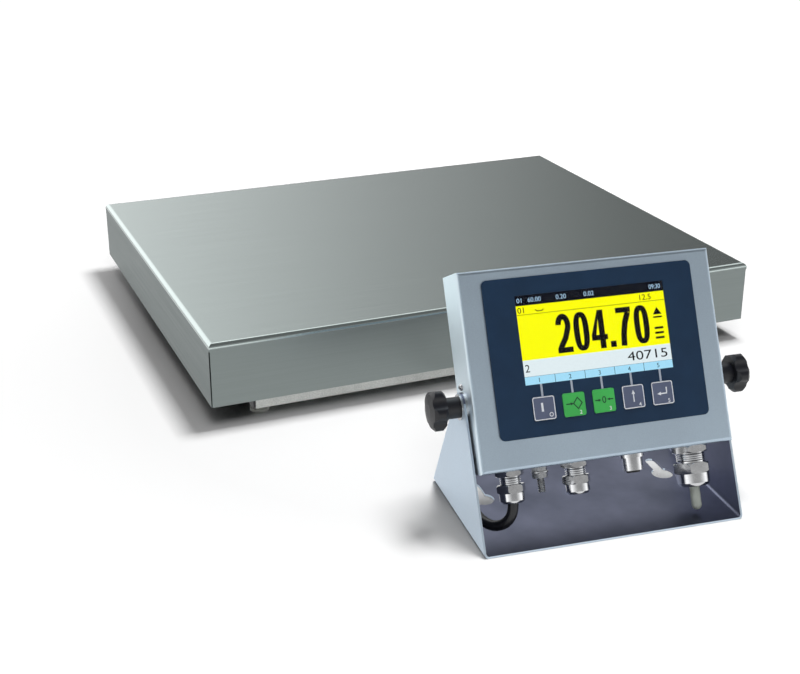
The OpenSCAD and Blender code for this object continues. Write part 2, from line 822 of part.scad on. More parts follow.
module housing() {
    mid = (case_top + case_bottom) / 2;
    flange_in = case_t + flange_w;
    color(STEEL) at_head() difference() {
        translate([0, face_y, mid]) rotate([90, 0, 0])
            boxed_block(case_w, case_h, case_d, case_fold_r);
        translate([0, face_y + case_t, mid]) rotate([90, 0, 0])
            boxed_block(case_w - 2 * case_t, case_h - 2 * case_t, case_d - 2 * case_t,
                case_fold_r - case_t);
        translate([-case_w / 2 + flange_in, case_back - case_t - past, case_bottom + flange_in])
            cube([case_w - 2 * flange_in, case_t + 2 * past, case_h - 2 * flange_in]);
        translate([-window_w / 2 - window_rim, face_y - past, window_z - window_h / 2 - window_rim])
            cube([window_w + 2 * window_rim, case_t + 2 * past, window_h + 2 * window_rim]);
        for (hole = fitting_holes()) translate([hole[0], gland_y, case_bottom - past])
            cylinder(r = hole[1] + fit, h = case_t + 2 * past);
        translate([-case_w / 2 - past, 0, 0]) rotate([0, 90, 0])
            cylinder(r = pivot_r + slide, h = case_w + 2 * past);
        translate([0, case_back - case_t - past, 0]) at_cover_screws() rotate([-90, 0, 0])
            cylinder(r = screw_r + fit, h = case_t + 2 * past);
        translate([-case_w / 2 - past, 0, side_screw_z]) rotate([0, 90, 0])
            cylinder(r = screw_r + fit, h = case_w + 2 * past);
    }
}

module back_sheet(y, t, inner) {
    mid = (case_top + case_bottom) / 2;
    w = case_w - 2 * cover_inset;
    h = case_h - 2 * cover_inset;
    difference() {
        translate([0, 0, mid]) along_y(y, t) rounded_rect(w, h, case_fold_r);
        if (inner > 0) translate([0, 0, mid]) along_y(y - past, t + 2 * past)
            square([case_w - 2 * inner, case_h - 2 * inner], center = true);
        translate([0, y - past, 0]) at_cover_screws() rotate([-90, 0, 0])
            cylinder(r = screw_r + slide, h = t + 2 * past);
    }
}

module rear_cover() {
    color(STEEL) at_head() back_sheet(cover_y, cover_t, 0);
}

module cover_gasket() {
    color(RUBBER) at_head() back_sheet(case_back, gasket_t, case_t + flange_w);
}

// Button head screw, its seat at z = 0 and its shank downwards
module button_screw(head_r) {
    dome_r = (pow(head_r, 2) + pow(screw_head_h, 2)) / (2 * screw_head_h);
    difference() {
        union() {
            intersection() {
                cylinder(r = head_r, h = screw_head_h);
                translate([0, 0, screw_head_h - dome_r]) sphere(dome_r);
            }
            translate([0, 0, -screw_l]) cylinder(r = screw_r, h = screw_l + fit);
        }
        translate([0, 0, screw_head_h / 3]) hexagon(1.2 * screw_r, screw_head_h);
    }
}

module housing_screws() {
    color(STEEL) at_head() {
        translate([0, cover_y + cover_t, 0]) at_cover_screws() rotate([-90, 0, 0])
            button_screw(screw_head_r);
        mirrored_x() translate([case_w / 2, 0, side_screw_z]) rotate([0, 90, 0])
            button_screw(side_screw_head_r);
    }
}

module keypad_overlay() {
    color(NAVY) at_head() difference() {
        translate([0, 0, overlay_z]) along_y(overlay_y, overlay_t)
            rounded_rect(overlay_w, overlay_h, overlay_r);
        translate([-window_w / 2, overlay_y - past, window_z - window_h / 2])
            cube([window_w, overlay_t + 2 * past, window_h]);
        for (i = [0:4]) translate([first_key + i * key_pitch, 0, key_z])
            along_y(overlay_y - past, overlay_t + past)
                rounded_rect(key_size + 2 * key_gap, key_size + 2 * key_gap, key_r + key_gap);
    }
}

module display_window() {
    color(PALE) at_head() translate([-window_w / 2, overlay_y, window_z - window_h / 2])
        cube([window_w, overlay_t, window_h]);
}

module display_module() {
    bezel = 1.5;
    color("gold") at_head() difference() {
        translate([-module_w / 2, face_y + case_t, window_z - module_h / 2])
            cube([module_w, module_t, module_h]);
        translate([-window_w / 2 - window_rim, face_y, window_z - window_h / 2 - window_rim])
            cube([window_w + 2 * window_rim, case_t + bezel, window_h + 2 * window_rim]);
    }
}

module key(i) {
    color(i == 1 || i == 2 ? GREEN : SLATE) at_head() translate([first_key + i * key_pitch, 0, key_z])
        along_y(key_front, key_back - key_front) rounded_rect(key_size, key_size, key_r);
}

module key_1() key(0);

module key_2() key(1);

module key_3() key(2);

module key_4() key(3);

module key_5() key(4);

module main_board() {
    plug_w = 22;
    plug_h = 8;
    plug_t = 7;
    plug_gap = 9;
    plug_inset = [20, 12];
    plugs = 4;
    color(BOARD) at_head() difference() {
        union() {
            translate([-board_w / 2, board_y, board_z - board_h / 2]) cube([board_w, board_t, board_h]);
            for (i = [0:plugs - 1])
                translate([-board_w / 2 + plug_inset[0] + i * (plug_w + plug_gap), board_y + board_t - fit,
                    board_z - board_h / 2 + plug_inset[1]]) cube([plug_w, plug_t + fit, plug_h]);
        }
        translate([0, board_y - past, board_z]) rotate([-90, 0, 0]) at_corners(standoff_x, standoff_z)
            cylinder(r = screw_r, h = board_t + 2 * past);
    }
}

module power_module() {
    w = 70;
    h = 42;
    color(BLACK) at_head() translate([-w / 2, board_y + board_t, board_z])
        cube([w, cover_y - board_y - board_t - past, h]);
}

module board_standoffs() {
    color(NICKEL) at_head() translate([0, 0, board_z]) along_y(face_y + case_t, board_y - face_y - case_t)
        at_corners(standoff_x, standoff_z) circle(standoff_r);
}

module pivot_bosses() {
    color(STEEL) at_head() mirrored_x() translate([case_w / 2 - case_t - boss_l, 0, 0]) rotate([0, 90, 0])
        ring(boss_r, pivot_r + fit, boss_l);
}

// Outline of a star grip: round lobes joined by tangent hollows
module star_outline() {
    lobe_share = 0.31;
    hollow_share = 0.41;
    lobe_r = knob_r * lobe_share;
    lobe_at = knob_r - lobe_r;
    hollow_r = knob_r * hollow_share;
    half = 180 / knob_lobes;
    hollow_at = lobe_at * cos(half) + sqrt(pow(lobe_r + hollow_r, 2) - pow(lobe_at * sin(half), 2));
    difference() {
        union() {
            for (i = [0:knob_lobes - 1]) rotate(2 * half * i) translate([lobe_at, 0]) circle(lobe_r);
            polygon([for (i = [0:2 * knob_lobes - 1])
                (i % 2 == 0 ? lobe_at : hollow_at) * [cos(half * i), sin(half * i)]]);
        }
        for (i = [0:knob_lobes - 1]) rotate(half * (2 * i + 1)) translate([hollow_at, 0]) circle(hollow_r);
    }
}

// Star knob with its neck on the ear at x = 0, pointing along +X
module star_knob() {
    rim = 2.5;
    crown = 1.2;
    rotate([0, 90, 0]) difference() {
        union() {
            translate([0, 0, neck_l]) intersection() {
                linear_extrude(knob_l) star_outline();
                rotate_extrude() polygon([[0, 0], [knob_r - rim, 0], [knob_r + fit, rim],
                    [knob_r + fit, knob_l - crown - rim], [knob_r - rim, knob_l - crown],
                    [knob_r / 3, knob_l], [0, knob_l]]);
            }
            cylinder(r = neck_r, h = neck_l + fit);
        }
        translate([0, 0, -past]) cylinder(r = pivot_r + fit / 2, h = neck_l + stud_grip + past);
    }
}

module at_knob(side) {
    at_head() mirror([side < 0 ? 1 : 0, 0, 0]) translate([ear_x + fit + washer_t, 0, 0]) children();
}

module knob_left() {
    color(BLACK) at_knob(-1) star_knob();
}

module knob_right() {
    color(BLACK) at_knob(1) star_knob();
}

module knob_stud(side) {
    reach = stud_l - neck_l;
    color(STEEL) at_knob(side) translate([-reach, 0, 0]) rotate([0, 90, 0])
        cylinder(r = pivot_r, h = reach + neck_l + stud_grip - fit);
}

module knob_stud_left() knob_stud(-1);

module knob_stud_right() knob_stud(1);

module ear_washers() {
    color(STEEL) at_head() mirrored_x() translate([ear_x + fit / 2, 0, 0]) rotate([0, 90, 0])
        ring(washer_r, pivot_r + slide, washer_t);
}

module pivot_spacers() {
    color(STEEL) at_head() mirrored_x() translate([case_w / 2, 0, 0]) rotate([0, 90, 0])
        ring(ear_r, pivot_r + slide, pivot_spacer_t);
}

module at_fitting(x) {
    at_head() translate([x, gland_y, case_bottom]) children();
}

// The three glands: [place, size, radius of the seal's hole]
function glands() = [
    [-gland_1_left, gland_small, cable_d / 2 + slide], [-gland_2_left, gland_small, 0],
    [gland_3_right, gland_large, plug_r + fit]];

module gland_bodies() {
    color(NICKEL) for (g = glands()) at_fitting(g[0]) gland_body(g[1]);
}

module gland_nuts() {
    color(NICKEL) for (g = glands()) at_fitting(g[0]) gland_nut(g[1]);
}

module gland_seals() {
    color(RUBBER) for (g = glands()) at_fitting(g[0]) gland_seal(g[1], g[2]);
}

module gland_lock_nuts() {
    color(NICKEL) {
        for (g = glands()) at_fitting(g[0]) translate([0, 0, case_t])
            hex_nut(g[1][1], g[1][0] + fit, lock_nut_h);
        at_fitting(socket_right) translate([0, 0, case_t])
            hex_nut(2 * socket_flange_r, socket_thread_r + fit, lock_nut_h);
    }
}

module gland_plug() {
    plug_in = 10;
    color(PALE) at_fitting(gland_3_right) translate([0, 0, -gland_large[2] - plug_out]) {
        cylinder(r = plug_r, h = plug_out + plug_in);
        sphere(plug_r);
    }
}

// Earth stud, its clamped part a little thinner than its free thread
module earth_stud() {
    inside = 8;
    color(STEEL) at_fitting(-earth_left) {
        translate([0, 0, -earth_l]) cylinder(r = earth_r, h = earth_l - earth_clamped);
        translate([0, 0, -earth_clamped - past])
            cylinder(r = earth_root_r, h = earth_clamped + inside + past);
    }
}

module earth_nuts() {
    color(STEEL) at_fitting(-earth_left) {
        translate([0, 0, -earth_nut_h]) hex_nut(earth_across, earth_root_r + fit, earth_nut_h);
        translate([0, 0, -earth_nut_h - washer_t - fit])
            ring(earth_across * 0.6, earth_root_r + fit, washer_t);
        translate([0, 0, -earth_clamped]) hex_nut(earth_across, earth_root_r + fit, earth_nut_h);
        translate([0, 0, case_t]) hex_nut(earth_across, earth_root_r + fit, earth_nut_h);
    }
}

module data_socket() {
    flange_h = 3;
    color(NICKEL) at_fitting(socket_right) difference() {
        union() {
            translate([0, 0, -flange_h]) cylinder(r = socket_flange_r, h = flange_h);
            translate([0, 0, -socket_l]) cylinder(r = socket_r, h = socket_l);
            translate([0, 0, -past]) cylinder(r = socket_thread_r, h = past + gland_in);
        }
        translate([0, 0, -socket_l - past])
            cylinder(r = socket_pin_r + fit, h = socket_l + gland_in + 2 * past);
    }
}

module data_socket_insert() {
    contact_r = 0.6;
    contact_ring = 2.4;
    contacts = 4;
    deep = 5;
    color(BLACK) at_fitting(socket_right) translate([0, 0, -socket_l - socket_proud]) difference() {
        cylinder(r = socket_pin_r, h = socket_l + socket_proud + case_t);
        for (i = [0:contacts - 1]) rotate([0, 0, 360 / contacts * i]) translate([contact_ring, 0, -past])
            cylinder(r = contact_r, h = deep + past);
    }
}

// Cable
module cable_lead() {
    join = [coil_place[0], coil_place[1] - coil_outer, coil_z + cable_d / 2];
    color(BLACK) swept_tube([for (p = concat(lead_points, [join])) terminal_to_row(p)], cable_d / 2, 10);
}

module cable_coil() {
    color(BLACK) at_terminal() translate([coil_place[0], coil_place[1], coil_z + coil_h / 2])
        rotate_extrude() translate([coil_r, 0]) rounded_rect(coil_w, coil_h, cable_d / 2);
}

module cable_tail() {
    leave = [coil_place[0] + coil_outer, coil_place[1], coil_z + 1.5 * cable_d];
    color(BLACK) swept_tube(concat([for (p = concat([leave], tail_points)) terminal_to_row(p)],
        [for (p = entry_points) platform_to_row(p)]), cable_d / 2, 10);
}

module coil_tie() {
    gap = fit;
    color(RUBBER) at_terminal() translate([coil_place[0], coil_place[1] + coil_r, coil_z + coil_h / 2])
        rotate([90, 0, 90]) translate([0, 0, -tie_w / 2]) linear_extrude(tie_w) difference() {
            rounded_rect(coil_w + 2 * tie_t, coil_h + 2 * tie_t, cable_d / 2);
            rounded_rect(coil_w + 2 * gap, coil_h + 2 * gap, cable_d / 2 - tie_t);
        }
}

load_plate();
plate_buffers();
upper_beam();
upper_arm_front();
upper_arm_rear();
cell_spacers();
load_cell();
load_cell_bolts();
base_beam();
base_rail_front();
base_rail_rear();
rail_end_caps();
overload_stops();
frame_lock_nuts();
foot_front_left();
foot_front_right();
foot_rear_left();
foot_rear_right();
spirit_level();
cable_bracket();
platform_gland_body();
platform_gland_nuts();
platform_gland_seal();
load_cell_lead();
bracket();
housing();
rear_cover();
cover_gasket();
housing_screws();
keypad_overlay();
display_window();
display_module();
key_1();
key_2();
key_3();
key_4();
key_5();
main_board();
power_module();
board_standoffs();
pivot_bosses();
knob_left();
knob_right();
knob_stud_left();
knob_stud_right();
ear_washers();
pivot_spacers();
gland_bodies();
gland_nuts();
gland_seals();
gland_lock_nuts();
gland_plug();
earth_stud();
earth_nuts();
data_socket();
data_socket_insert();
cable_lead();
cable_coil();
cable_tail();
coil_tie();
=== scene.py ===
import json
from math import atan2, ceil, cos, pi, radians, sin

import bmesh
import bpy
from mathutils import Matrix, Vector


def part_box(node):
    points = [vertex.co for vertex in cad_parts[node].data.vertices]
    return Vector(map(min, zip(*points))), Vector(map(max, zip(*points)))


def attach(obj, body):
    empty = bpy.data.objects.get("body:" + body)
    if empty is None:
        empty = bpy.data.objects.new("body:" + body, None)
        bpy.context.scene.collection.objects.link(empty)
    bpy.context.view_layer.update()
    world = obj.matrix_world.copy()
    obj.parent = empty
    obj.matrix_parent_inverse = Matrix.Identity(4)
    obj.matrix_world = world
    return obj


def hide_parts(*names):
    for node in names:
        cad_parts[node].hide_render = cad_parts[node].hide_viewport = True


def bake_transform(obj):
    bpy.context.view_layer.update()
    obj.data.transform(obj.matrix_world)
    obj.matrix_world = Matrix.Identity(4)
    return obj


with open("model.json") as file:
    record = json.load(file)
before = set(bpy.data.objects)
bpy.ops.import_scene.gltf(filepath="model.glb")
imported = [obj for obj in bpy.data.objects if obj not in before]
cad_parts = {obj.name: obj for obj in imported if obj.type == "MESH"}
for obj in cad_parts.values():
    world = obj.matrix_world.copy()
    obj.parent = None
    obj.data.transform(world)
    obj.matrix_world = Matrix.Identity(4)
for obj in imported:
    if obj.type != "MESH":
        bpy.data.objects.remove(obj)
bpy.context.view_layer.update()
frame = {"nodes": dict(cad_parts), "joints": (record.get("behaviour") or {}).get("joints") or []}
nodes = frame["nodes"]
joints = {joint["name"]: joint for joint in frame["joints"]}
scene = bpy.context.scene
scene.view_settings.view_transform = "Standard"
print("frame loaded:", len(nodes), "nodes")

# camera at the photograph's place, measured from the platform's and the terminal's corners
viewpoint = {"place": (-0.4919, -1.0420, 0.4987), "heading": 22.35, "pitch": 22.69,
             "focalPixels": 1396, "imageWidth": 800, "sensor": 36}
cameraData = bpy.data.cameras.new("photoCamera")
cameraData.sensor_fit = "HORIZONTAL"
cameraData.sensor_width = viewpoint["sensor"]
cameraData.lens = viewpoint["focalPixels"] / viewpoint["imageWidth"] * viewpoint["sensor"]
camera = bpy.data.objects.new("photoCamera", cameraData)
camera.location = viewpoint["place"]
camera.rotation_euler = (radians(90 - viewpoint["pitch"]), 0, radians(-viewpoint["heading"]))
scene.collection.objects.link(camera)
scene.camera = camera
print("camera set")

# the terminal stands turned on the floor, and its head leans back about the tilt pivot
tilt = joints["terminal_tilt"]
pivot = Vector(tilt["pos_m"])
turn = atan2(-tilt["axis"][1], tilt["axis"][0])
lean = radians(26)  # of the face at rest, as drawn
terminalPlace = Matrix.Translation((pivot.x, pivot.y, 0)) @ Matrix.Rotation(-turn, 4, "Z")
headPlace = Matrix.Translation(pivot) @ Matrix.Rotation(-turn, 4, "Z") @ Matrix.Rotation(-lean, 4, "X")
platformPlace = Matrix.Translation((0, sum(p.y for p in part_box("load_plate")) / 2, 0))
mm = 0.001
noiseLow = 0.3  # most of a noise pattern lies between these two
noiseHigh = 0.7
grainDepth = 0.0002  # metres that a bump of full strength stands for
threadDepth = 0.0004


def linear(code):
    # sRGB hex to the linear colour that the shaders want
    parts = [int(code[i:i + 2], 16) / 255 for i in (1, 3, 5)]
    return [c / 12.92 if c <= 0.04045 else ((c + 0.055) / 1.055) ** 2.4 for c in parts] + [1]


def shadeOf(colour, share):
    return [c * share for c in colour[:3]] + [1]


def addNode(tree, kind, settings=None, links=None):
    node = tree.nodes.new("ShaderNode" + kind)
    for key, value in (settings or {}).items():
        if isinstance(key, str) and hasattr(node, key):
            setattr(node, key, value)
        else:
            node.inputs[key].default_value = value
    for key, socket in (links or {}).items():
        tree.links.new(socket, node.inputs[key])
    return node


def startMaterial(name, settings):
    material = bpy.data.materials.new(name)
    material.use_nodes = True
    tree = material.node_tree
    tree.nodes.clear()
    shader = addNode(tree, "BsdfPrincipled", settings)
    addNode(tree, "OutputMaterial", links={"Surface": shader.outputs[0]})
    return material, tree, shader


def setRamp(node, stops):
    ramp = node.color_ramp
    while len(ramp.elements) < len(stops):
        ramp.elements.new(0.5)
    for element, (place, colour) in zip(ramp.elements, stops):
        element.position = place
        element.color = colour


def newPiece(name, mesh, material, body=None):
    piece = bpy.data.objects.new(name, mesh)
    scene.collection.objects.link(piece)
    if material:
        mesh.materials.append(material)
    if body:
        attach(piece, body)
    return piece


# cable: one flexible instrument lead from the first gland, coiled behind the terminal, into the platform
cable = {
    "diameter": 7.5,
    "sides": 16,
    "step": 3.0,
    "coilMiddle": (19, 136),
    "coilLow": 4.55,
    "coilHigh": 12.05,
    # stretches of the coil: angle, radius and height at their ends; it shifts a row over 60 degrees
    "coilStops": [(-90, 48.5, 0), (210, 48.5, 0), (270, 41, 0), (570, 41, 0), (630, 33.5, 0), (860, 33.5, 0),
                  (920, 33.5, 1), (1150, 33.5, 1), (1210, 41, 1), (1510, 41, 1), (1570, 48.5, 1),
                  (1800, 48.5, 1)],
    "lead": [(-68, -30, 31), (-68, -33, 25.5), (-69.5, -35, 18), (-73, -33.5, 11.5), (-77.5, -29.5, 7.5),
             (-81, -25, 6.2), (-83.5, -19.5, 6), (-85, -12, 6), (-85, 5, 6), (-84.5, 20, 6), (-82, 36, 6),
             (-76, 51, 6), (-67, 63, 5.5), (-55, 72, 4.5), (-40, 79, 4), (-22, 84, 4), (0, 86.5, 4.2)],
    "tail": [(69.5, 150, 11), (69, 166, 8.5), (67.5, 182, 5.5), (65.5, 198, 4)],
    "entryX": 53.99,
    "entry": [(-195, 3.8), (-176, 3.8), (-158, 3.8), (-148, 5.4), (-138, 10.9), (-128, 16.4), (-118, 18),
              (-100, 18)],
    "bendStart": (-68, -33, 25.5),
    "bendEnd": (-70, 58, 6),
}


def throughPoints(points, step):
    # smooth curve through the points, cut into short equal-looking steps
    out = []
    last = len(points) - 1
    for i in range(last):
        a, b, c, d = (points[max(0, min(last, i + k))] for k in (-1, 0, 1, 2))
        count = max(2, ceil((c - b).length / step))
        for k in range(count):
            t = k / count
            out.append(0.5 * (2 * b + (c - a) * t + (2 * a - 5 * b + 4 * c - d) * t ** 2
                              + (3 * b - a - 3 * c + d) * t ** 3))
    return out + [points[-1]]


def coilRoute():
    points = []
    stops = cable["coilStops"]
    middle = cable["coilMiddle"]
    rise = cable["coilHigh"] - cable["coilLow"]
    for (a0, r0, h0), (a1, r1, h1) in zip(stops, stops[1:]):
        count = round((a1 - a0) / 10)
        for k in range(count):
            t = k / count
            s = t * t * (3 - 2 * t)
            angle = radians(a0 + (a1 - a0) * t)
            radius = r0 + (r1 - r0) * s
            points.append(Vector((middle[0] + radius * cos(angle), middle[1] + radius * sin(angle),
                                  cable["coilLow"] + rise * (h0 + (h1 - h0) * s))))
    end = radians(stops[-1][0])
    points.append(Vector((middle[0] + stops[-1][1] * cos(end), middle[1] + stops[-1][1] * sin(end),
                          cable["coilHigh"])))
    return points


def tubeMesh(name, path, radius, sides):
    # rings carried along the path without twist
    build = bmesh.new()
    side = Vector((1, 0.1, 0.2))
    rings = []
    for i, point in enumerate(path):
        along = (path[min(i + 1, len(path) - 1)] - path[max(i - 1, 0)]).normalized()
        side = (side - along * side.dot(along)).normalized()
        other = along.cross(side)
        rings.append([build.verts.new(point + radius * (cos(2 * pi * k / sides) * side
                                                        + sin(2 * pi * k / sides) * other))
                      for k in range(sides)])
    for low, high in zip(rings, rings[1:]):
        for k in range(sides):
            build.faces.new((low[k], low[(k + 1) % sides], high[(k + 1) % sides], high[k]))
    build.faces.new(list(reversed(rings[0])))
    build.faces.new(rings[-1])
    for face in build.faces:
        face.smooth = len(face.verts) == 4
    mesh = bpy.data.meshes.new(name)
    build.to_mesh(mesh)
    build.free()
    return mesh


routeMm = [Vector(p) for p in cable["lead"]] + coilRoute() + [Vector(p) for p in cable["tail"]]
entryMm = [platformPlace @ (Vector((cable["entryX"], y, z)) * mm) for y, z in cable["entry"]]
cablePath = throughPoints([terminalPlace @ (p * mm) for p in routeMm] + entryMm, cable["step"] * mm)
cablePiece = newPiece("instrumentCable", tubeMesh("instrumentCable", cablePath, cable["diameter"] / 2 * mm,
                                                  cable["sides"]), None)
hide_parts("cable_lead", "cable_coil", "cable_tail")
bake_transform(cablePiece)
cablePiece.visible_glossy = False  # the photographed skirt shows no cable mirrored in it


# cold rolled stainless sheet, ground with a belt: long fine scratches give soft streaks in the reflection;
# the scratches are drawn coarser than they are, so that they show
# the skirt colours are painted shade: front and back skirts darker than the top, the end skirts darker still
groundSheet = {"light": "#BAC5C3", "dark": "#B4BFBD", "skirt": "#BABABA", "endSkirtPaintedShade": "#818A8A",
               "scratchMm": 0.9, "scratchLongMm": 120, "roughness": 0.18, "skirtRoughness": 0.34,
               "bump": 0.02, "fold": (0.03, 0.12)}  # fold: how far up a face looks where skirt turns to top


def makeGroundSheet():
    material, tree, shader = startMaterial("groundStainlessSheet", {"Metallic": 1})
    place = addNode(tree, "TexCoord")
    facing = addNode(tree, "SeparateXYZ", links={0: addNode(tree, "NewGeometry").outputs["Normal"]})
    sideways = addNode(tree, "Math", {"operation": "ABSOLUTE"}, {0: facing.outputs[0]})
    onSide = addNode(tree, "Math", {"operation": "GREATER_THAN", 1: 0.7}, {0: sideways.outputs[0]})
    fine = 1000 / groundSheet["scratchMm"]
    coarse = 1000 / groundSheet["scratchLongMm"]
    streaks = []
    for scale in ((coarse, fine, fine), (fine, coarse, fine)):
        stretched = addNode(tree, "Mapping", {"Scale": scale}, {"Vector": place.outputs["Object"]})
        streaks.append(addNode(tree, "TexNoise", {"Scale": 1, "Detail": 3, "Roughness": 0.6},
                               {"Vector": stretched.outputs[0]}))
    streak = addNode(tree, "Mix", {"data_type": "FLOAT"},
                     {0: onSide.outputs[0], 2: streaks[0].outputs[0], 3: streaks[1].outputs[0]})
    tone = addNode(tree, "ValToRGB", links={0: streak.outputs[0]})
    setRamp(tone, [(noiseLow, linear(groundSheet["dark"])), (noiseHigh, linear(groundSheet["light"]))])
    # painted shade: the skirts are painted darker than the top and the folds, the end skirts darker still
    skirtPaintedShade = addNode(tree, "Mix", {"data_type": "RGBA", 6: linear(groundSheet["skirt"]),
                                 7: linear(groundSheet["endSkirtPaintedShade"])}, {0: onSide.outputs[0]})
    low, high = groundSheet["fold"]
    onTop = addNode(tree, "MapRange", {1: low, 2: high}, {0: facing.outputs[2]})
    given = addNode(tree, "Mix", {"data_type": "RGBA", 7: (1, 1, 1, 1)},
                    {0: onTop.outputs[0], 6: skirtPaintedShade.outputs[2]})
    shaded = addNode(tree, "VectorMath", {"operation": "MULTIPLY"},
                     {0: tone.outputs[0], 1: given.outputs[2]})
    tree.links.new(shaded.outputs[0], shader.inputs["Base Color"])
    smooth = addNode(tree, "MapRange", {1: low, 2: high, 3: groundSheet["skirtRoughness"],
                                        4: groundSheet["roughness"]}, {0: facing.outputs[2]})
    vary = addNode(tree, "MapRange", {1: noiseLow, 2: noiseHigh, 3: 0.88, 4: 1.15}, {0: streak.outputs[0]})
    rough = addNode(tree, "Math", {"operation": "MULTIPLY"}, {0: smooth.outputs[0], 1: vary.outputs[0]})
    tree.links.new(rough.outputs[0], shader.inputs["Roughness"])
    bump = addNode(tree, "Bump", {"Strength": groundSheet["bump"], "Distance": grainDepth},
                   {"Height": streak.outputs[0]})
    tree.links.new(bump.outputs[0], shader.inputs["Normal"])
    return material


# stainless sheet with a fine glass-bead satin: no direction, soft cloudy reflections; the grain of this and
# of the metals below is drawn coarser than it is, so that it shows
# sides: a painted reflection, the bent sides of the housing lighter than its face
satinSheet = {"light": "#BCCDDA", "dark": "#B3C3D1", "grainMm": 0.9, "cloudMm": 60, "roughness": 0.42,
              "bump": 0.008, "sides": "#EAF7FF"}
# painted shade on the inside of the bracket, under the housing: darker, cloudy and a little violet
bracketSheet = dict(satinSheet, light="#C8D7E4", dark="#BECDDB", inside=("#606576", "#7A7E91"))
bracketSheet.pop("sides")


def insideBracket(tree):
    # 1 where the painted shade goes: on the upper side of the base and on the faces of the ears that look at
    #                                 each other
    surface = addNode(tree, "NewGeometry")
    across = tuple(terminalPlace.col[0][:3])
    facing = addNode(tree, "VectorMath", {"operation": "DOT_PRODUCT", 1: across},
                     {0: surface.outputs["Normal"]})
    inward = addNode(tree, "VectorMath", {"operation": "SUBTRACT", 1: tuple(pivot)},
                     {0: addNode(tree, "TexCoord").outputs["Object"]})
    offset = addNode(tree, "VectorMath", {"operation": "DOT_PRODUCT", 1: across}, {0: inward.outputs[0]})
    product = addNode(tree, "Math", {"operation": "MULTIPLY"},
                      {0: facing.outputs["Value"], 1: offset.outputs["Value"]})
    ears = addNode(tree, "Math", {"operation": "LESS_THAN", 1: -0.05}, {0: product.outputs[0]})
    upward = addNode(tree, "SeparateXYZ", links={0: surface.outputs["Normal"]})
    base = addNode(tree, "Math", {"operation": "GREATER_THAN", 1: 0.6}, {0: upward.outputs[2]})
    either = addNode(tree, "Math", {"operation": "MAXIMUM"}, {0: ears.outputs[0], 1: base.outputs[0]})
    return either.outputs[0]


def makeSatinSheet(name, look):
    material, tree, shader = startMaterial(name, {"Metallic": 1})
    place = addNode(tree, "TexCoord").outputs["Object"]
    grain = addNode(tree, "TexNoise", {"Scale": 1000 / look["grainMm"], "Detail": 2}, {"Vector": place})
    cloud = addNode(tree, "TexNoise", {"Scale": 1000 / look["cloudMm"], "Detail": 4, "Roughness": 0.55},
                    {"Vector": place})
    both = addNode(tree, "Mix", {"data_type": "FLOAT", 0: 0.55}, {2: grain.outputs[0], 3: cloud.outputs[0]})
    tone = addNode(tree, "ValToRGB", links={0: both.outputs[0]})
    setRamp(tone, [(0.35, linear(look["dark"])), (0.65, linear(look["light"]))])
    colour = tone.outputs[0]
    if "sides" in look:
        # painted reflection: the bent sides are painted lighter than the face
        surface = addNode(tree, "NewGeometry").outputs["Normal"]
        across = tuple(terminalPlace.col[0][:3])
        facing = addNode(tree, "VectorMath", {"operation": "DOT_PRODUCT", 1: across}, {0: surface})
        turned = addNode(tree, "Math", {"operation": "ABSOLUTE"}, {0: facing.outputs["Value"]})
        onSide = addNode(tree, "MapRange", {1: 0.6, 2: 0.9}, {0: turned.outputs[0]})
        mixed = addNode(tree, "Mix", {"data_type": "RGBA", 7: linear(look["sides"])},
                        {0: onSide.outputs[0], 6: colour})
        colour = mixed.outputs[2]
    if "inside" in look:
        # painted shade on the inside faces of the bracket
        insidePaintedShade = addNode(tree, "ValToRGB", links={0: cloud.outputs[0]})
        setRamp(insidePaintedShade, [(0.35, linear(look["inside"][0])), (0.65, linear(look["inside"][1]))])
        mixed = addNode(tree, "Mix", {"data_type": "RGBA"},
                        {0: insideBracket(tree), 6: colour, 7: insidePaintedShade.outputs[0]})
        colour = mixed.outputs[2]
    tree.links.new(colour, shader.inputs["Base Color"])
    low = look["roughness"] - 0.05
    high = look["roughness"] + 0.06
    rough = addNode(tree, "MapRange", {1: noiseLow, 2: noiseHigh, 3: low, 4: high}, {0: cloud.outputs[0]})
    tree.links.new(rough.outputs[0], shader.inputs["Roughness"])
    bump = addNode(tree, "Bump", {"Strength": look.get("bump", 0.03), "Distance": grainDepth},
                   {"Height": grain.outputs[0]})
    if "threadMm" in look:
        height = addNode(tree, "VectorMath", {"operation": "DOT_PRODUCT", 1: look["along"]}, {0: place})
        turns = addNode(tree, "Math", {"operation": "MULTIPLY", 1: 2 * pi * 1000 / look["threadMm"]},
                        {0: height.outputs["Value"]})
        ridge = addNode(tree, "Math", {"operation": "SINE"}, {0: turns.outputs[0]})
        bump = addNode(tree, "Bump", {"Strength": 0.9, "Distance": threadDepth},
                       {"Height": ridge.outputs[0], "Normal": bump.outputs[0]})
    tree.links.new(bump.outputs[0], shader.inputs["Normal"])
    return material


# bead blasted tube: matt and grainy, it scatters the light evenly
blastedTube = {"light": "#CFD1CE", "dark": "#A6A9A6", "grainMm": 1.2, "cloudMm": 25, "roughness": 0.52,
               "bump": 0.25}
# milled aluminium: pale and faintly lined by the cutter
milledAluminium = {"light": "#CDCFD1", "dark": "#BBBDBF", "grainMm": 1.5, "cloudMm": 40, "roughness": 0.36}
# machined stainless fasteners: brighter than the sheet
turnedSteel = {"light": "#C4C6C8", "dark": "#9C9EA1", "grainMm": 0.6, "cloudMm": 6, "roughness": 0.26}
# rolled threads on the same steel, drawn at twice their pitch so that the eye can part the ridges
earthThread = dict(turnedSteel, threadMm=1.6, along=tuple(headPlace.col[2][:3]))
stopThread = dict(turnedSteel, threadMm=2.5, along=(0, 0, 1))
# nickel plated brass: a mirror-like white metal with slight waviness from the plating
platedBrass = {"light": "#DCDDDE", "dark": "#CDCED0", "grainMm": 0.8, "cloudMm": 8, "roughness": 0.10,
               "bump": 0.004}

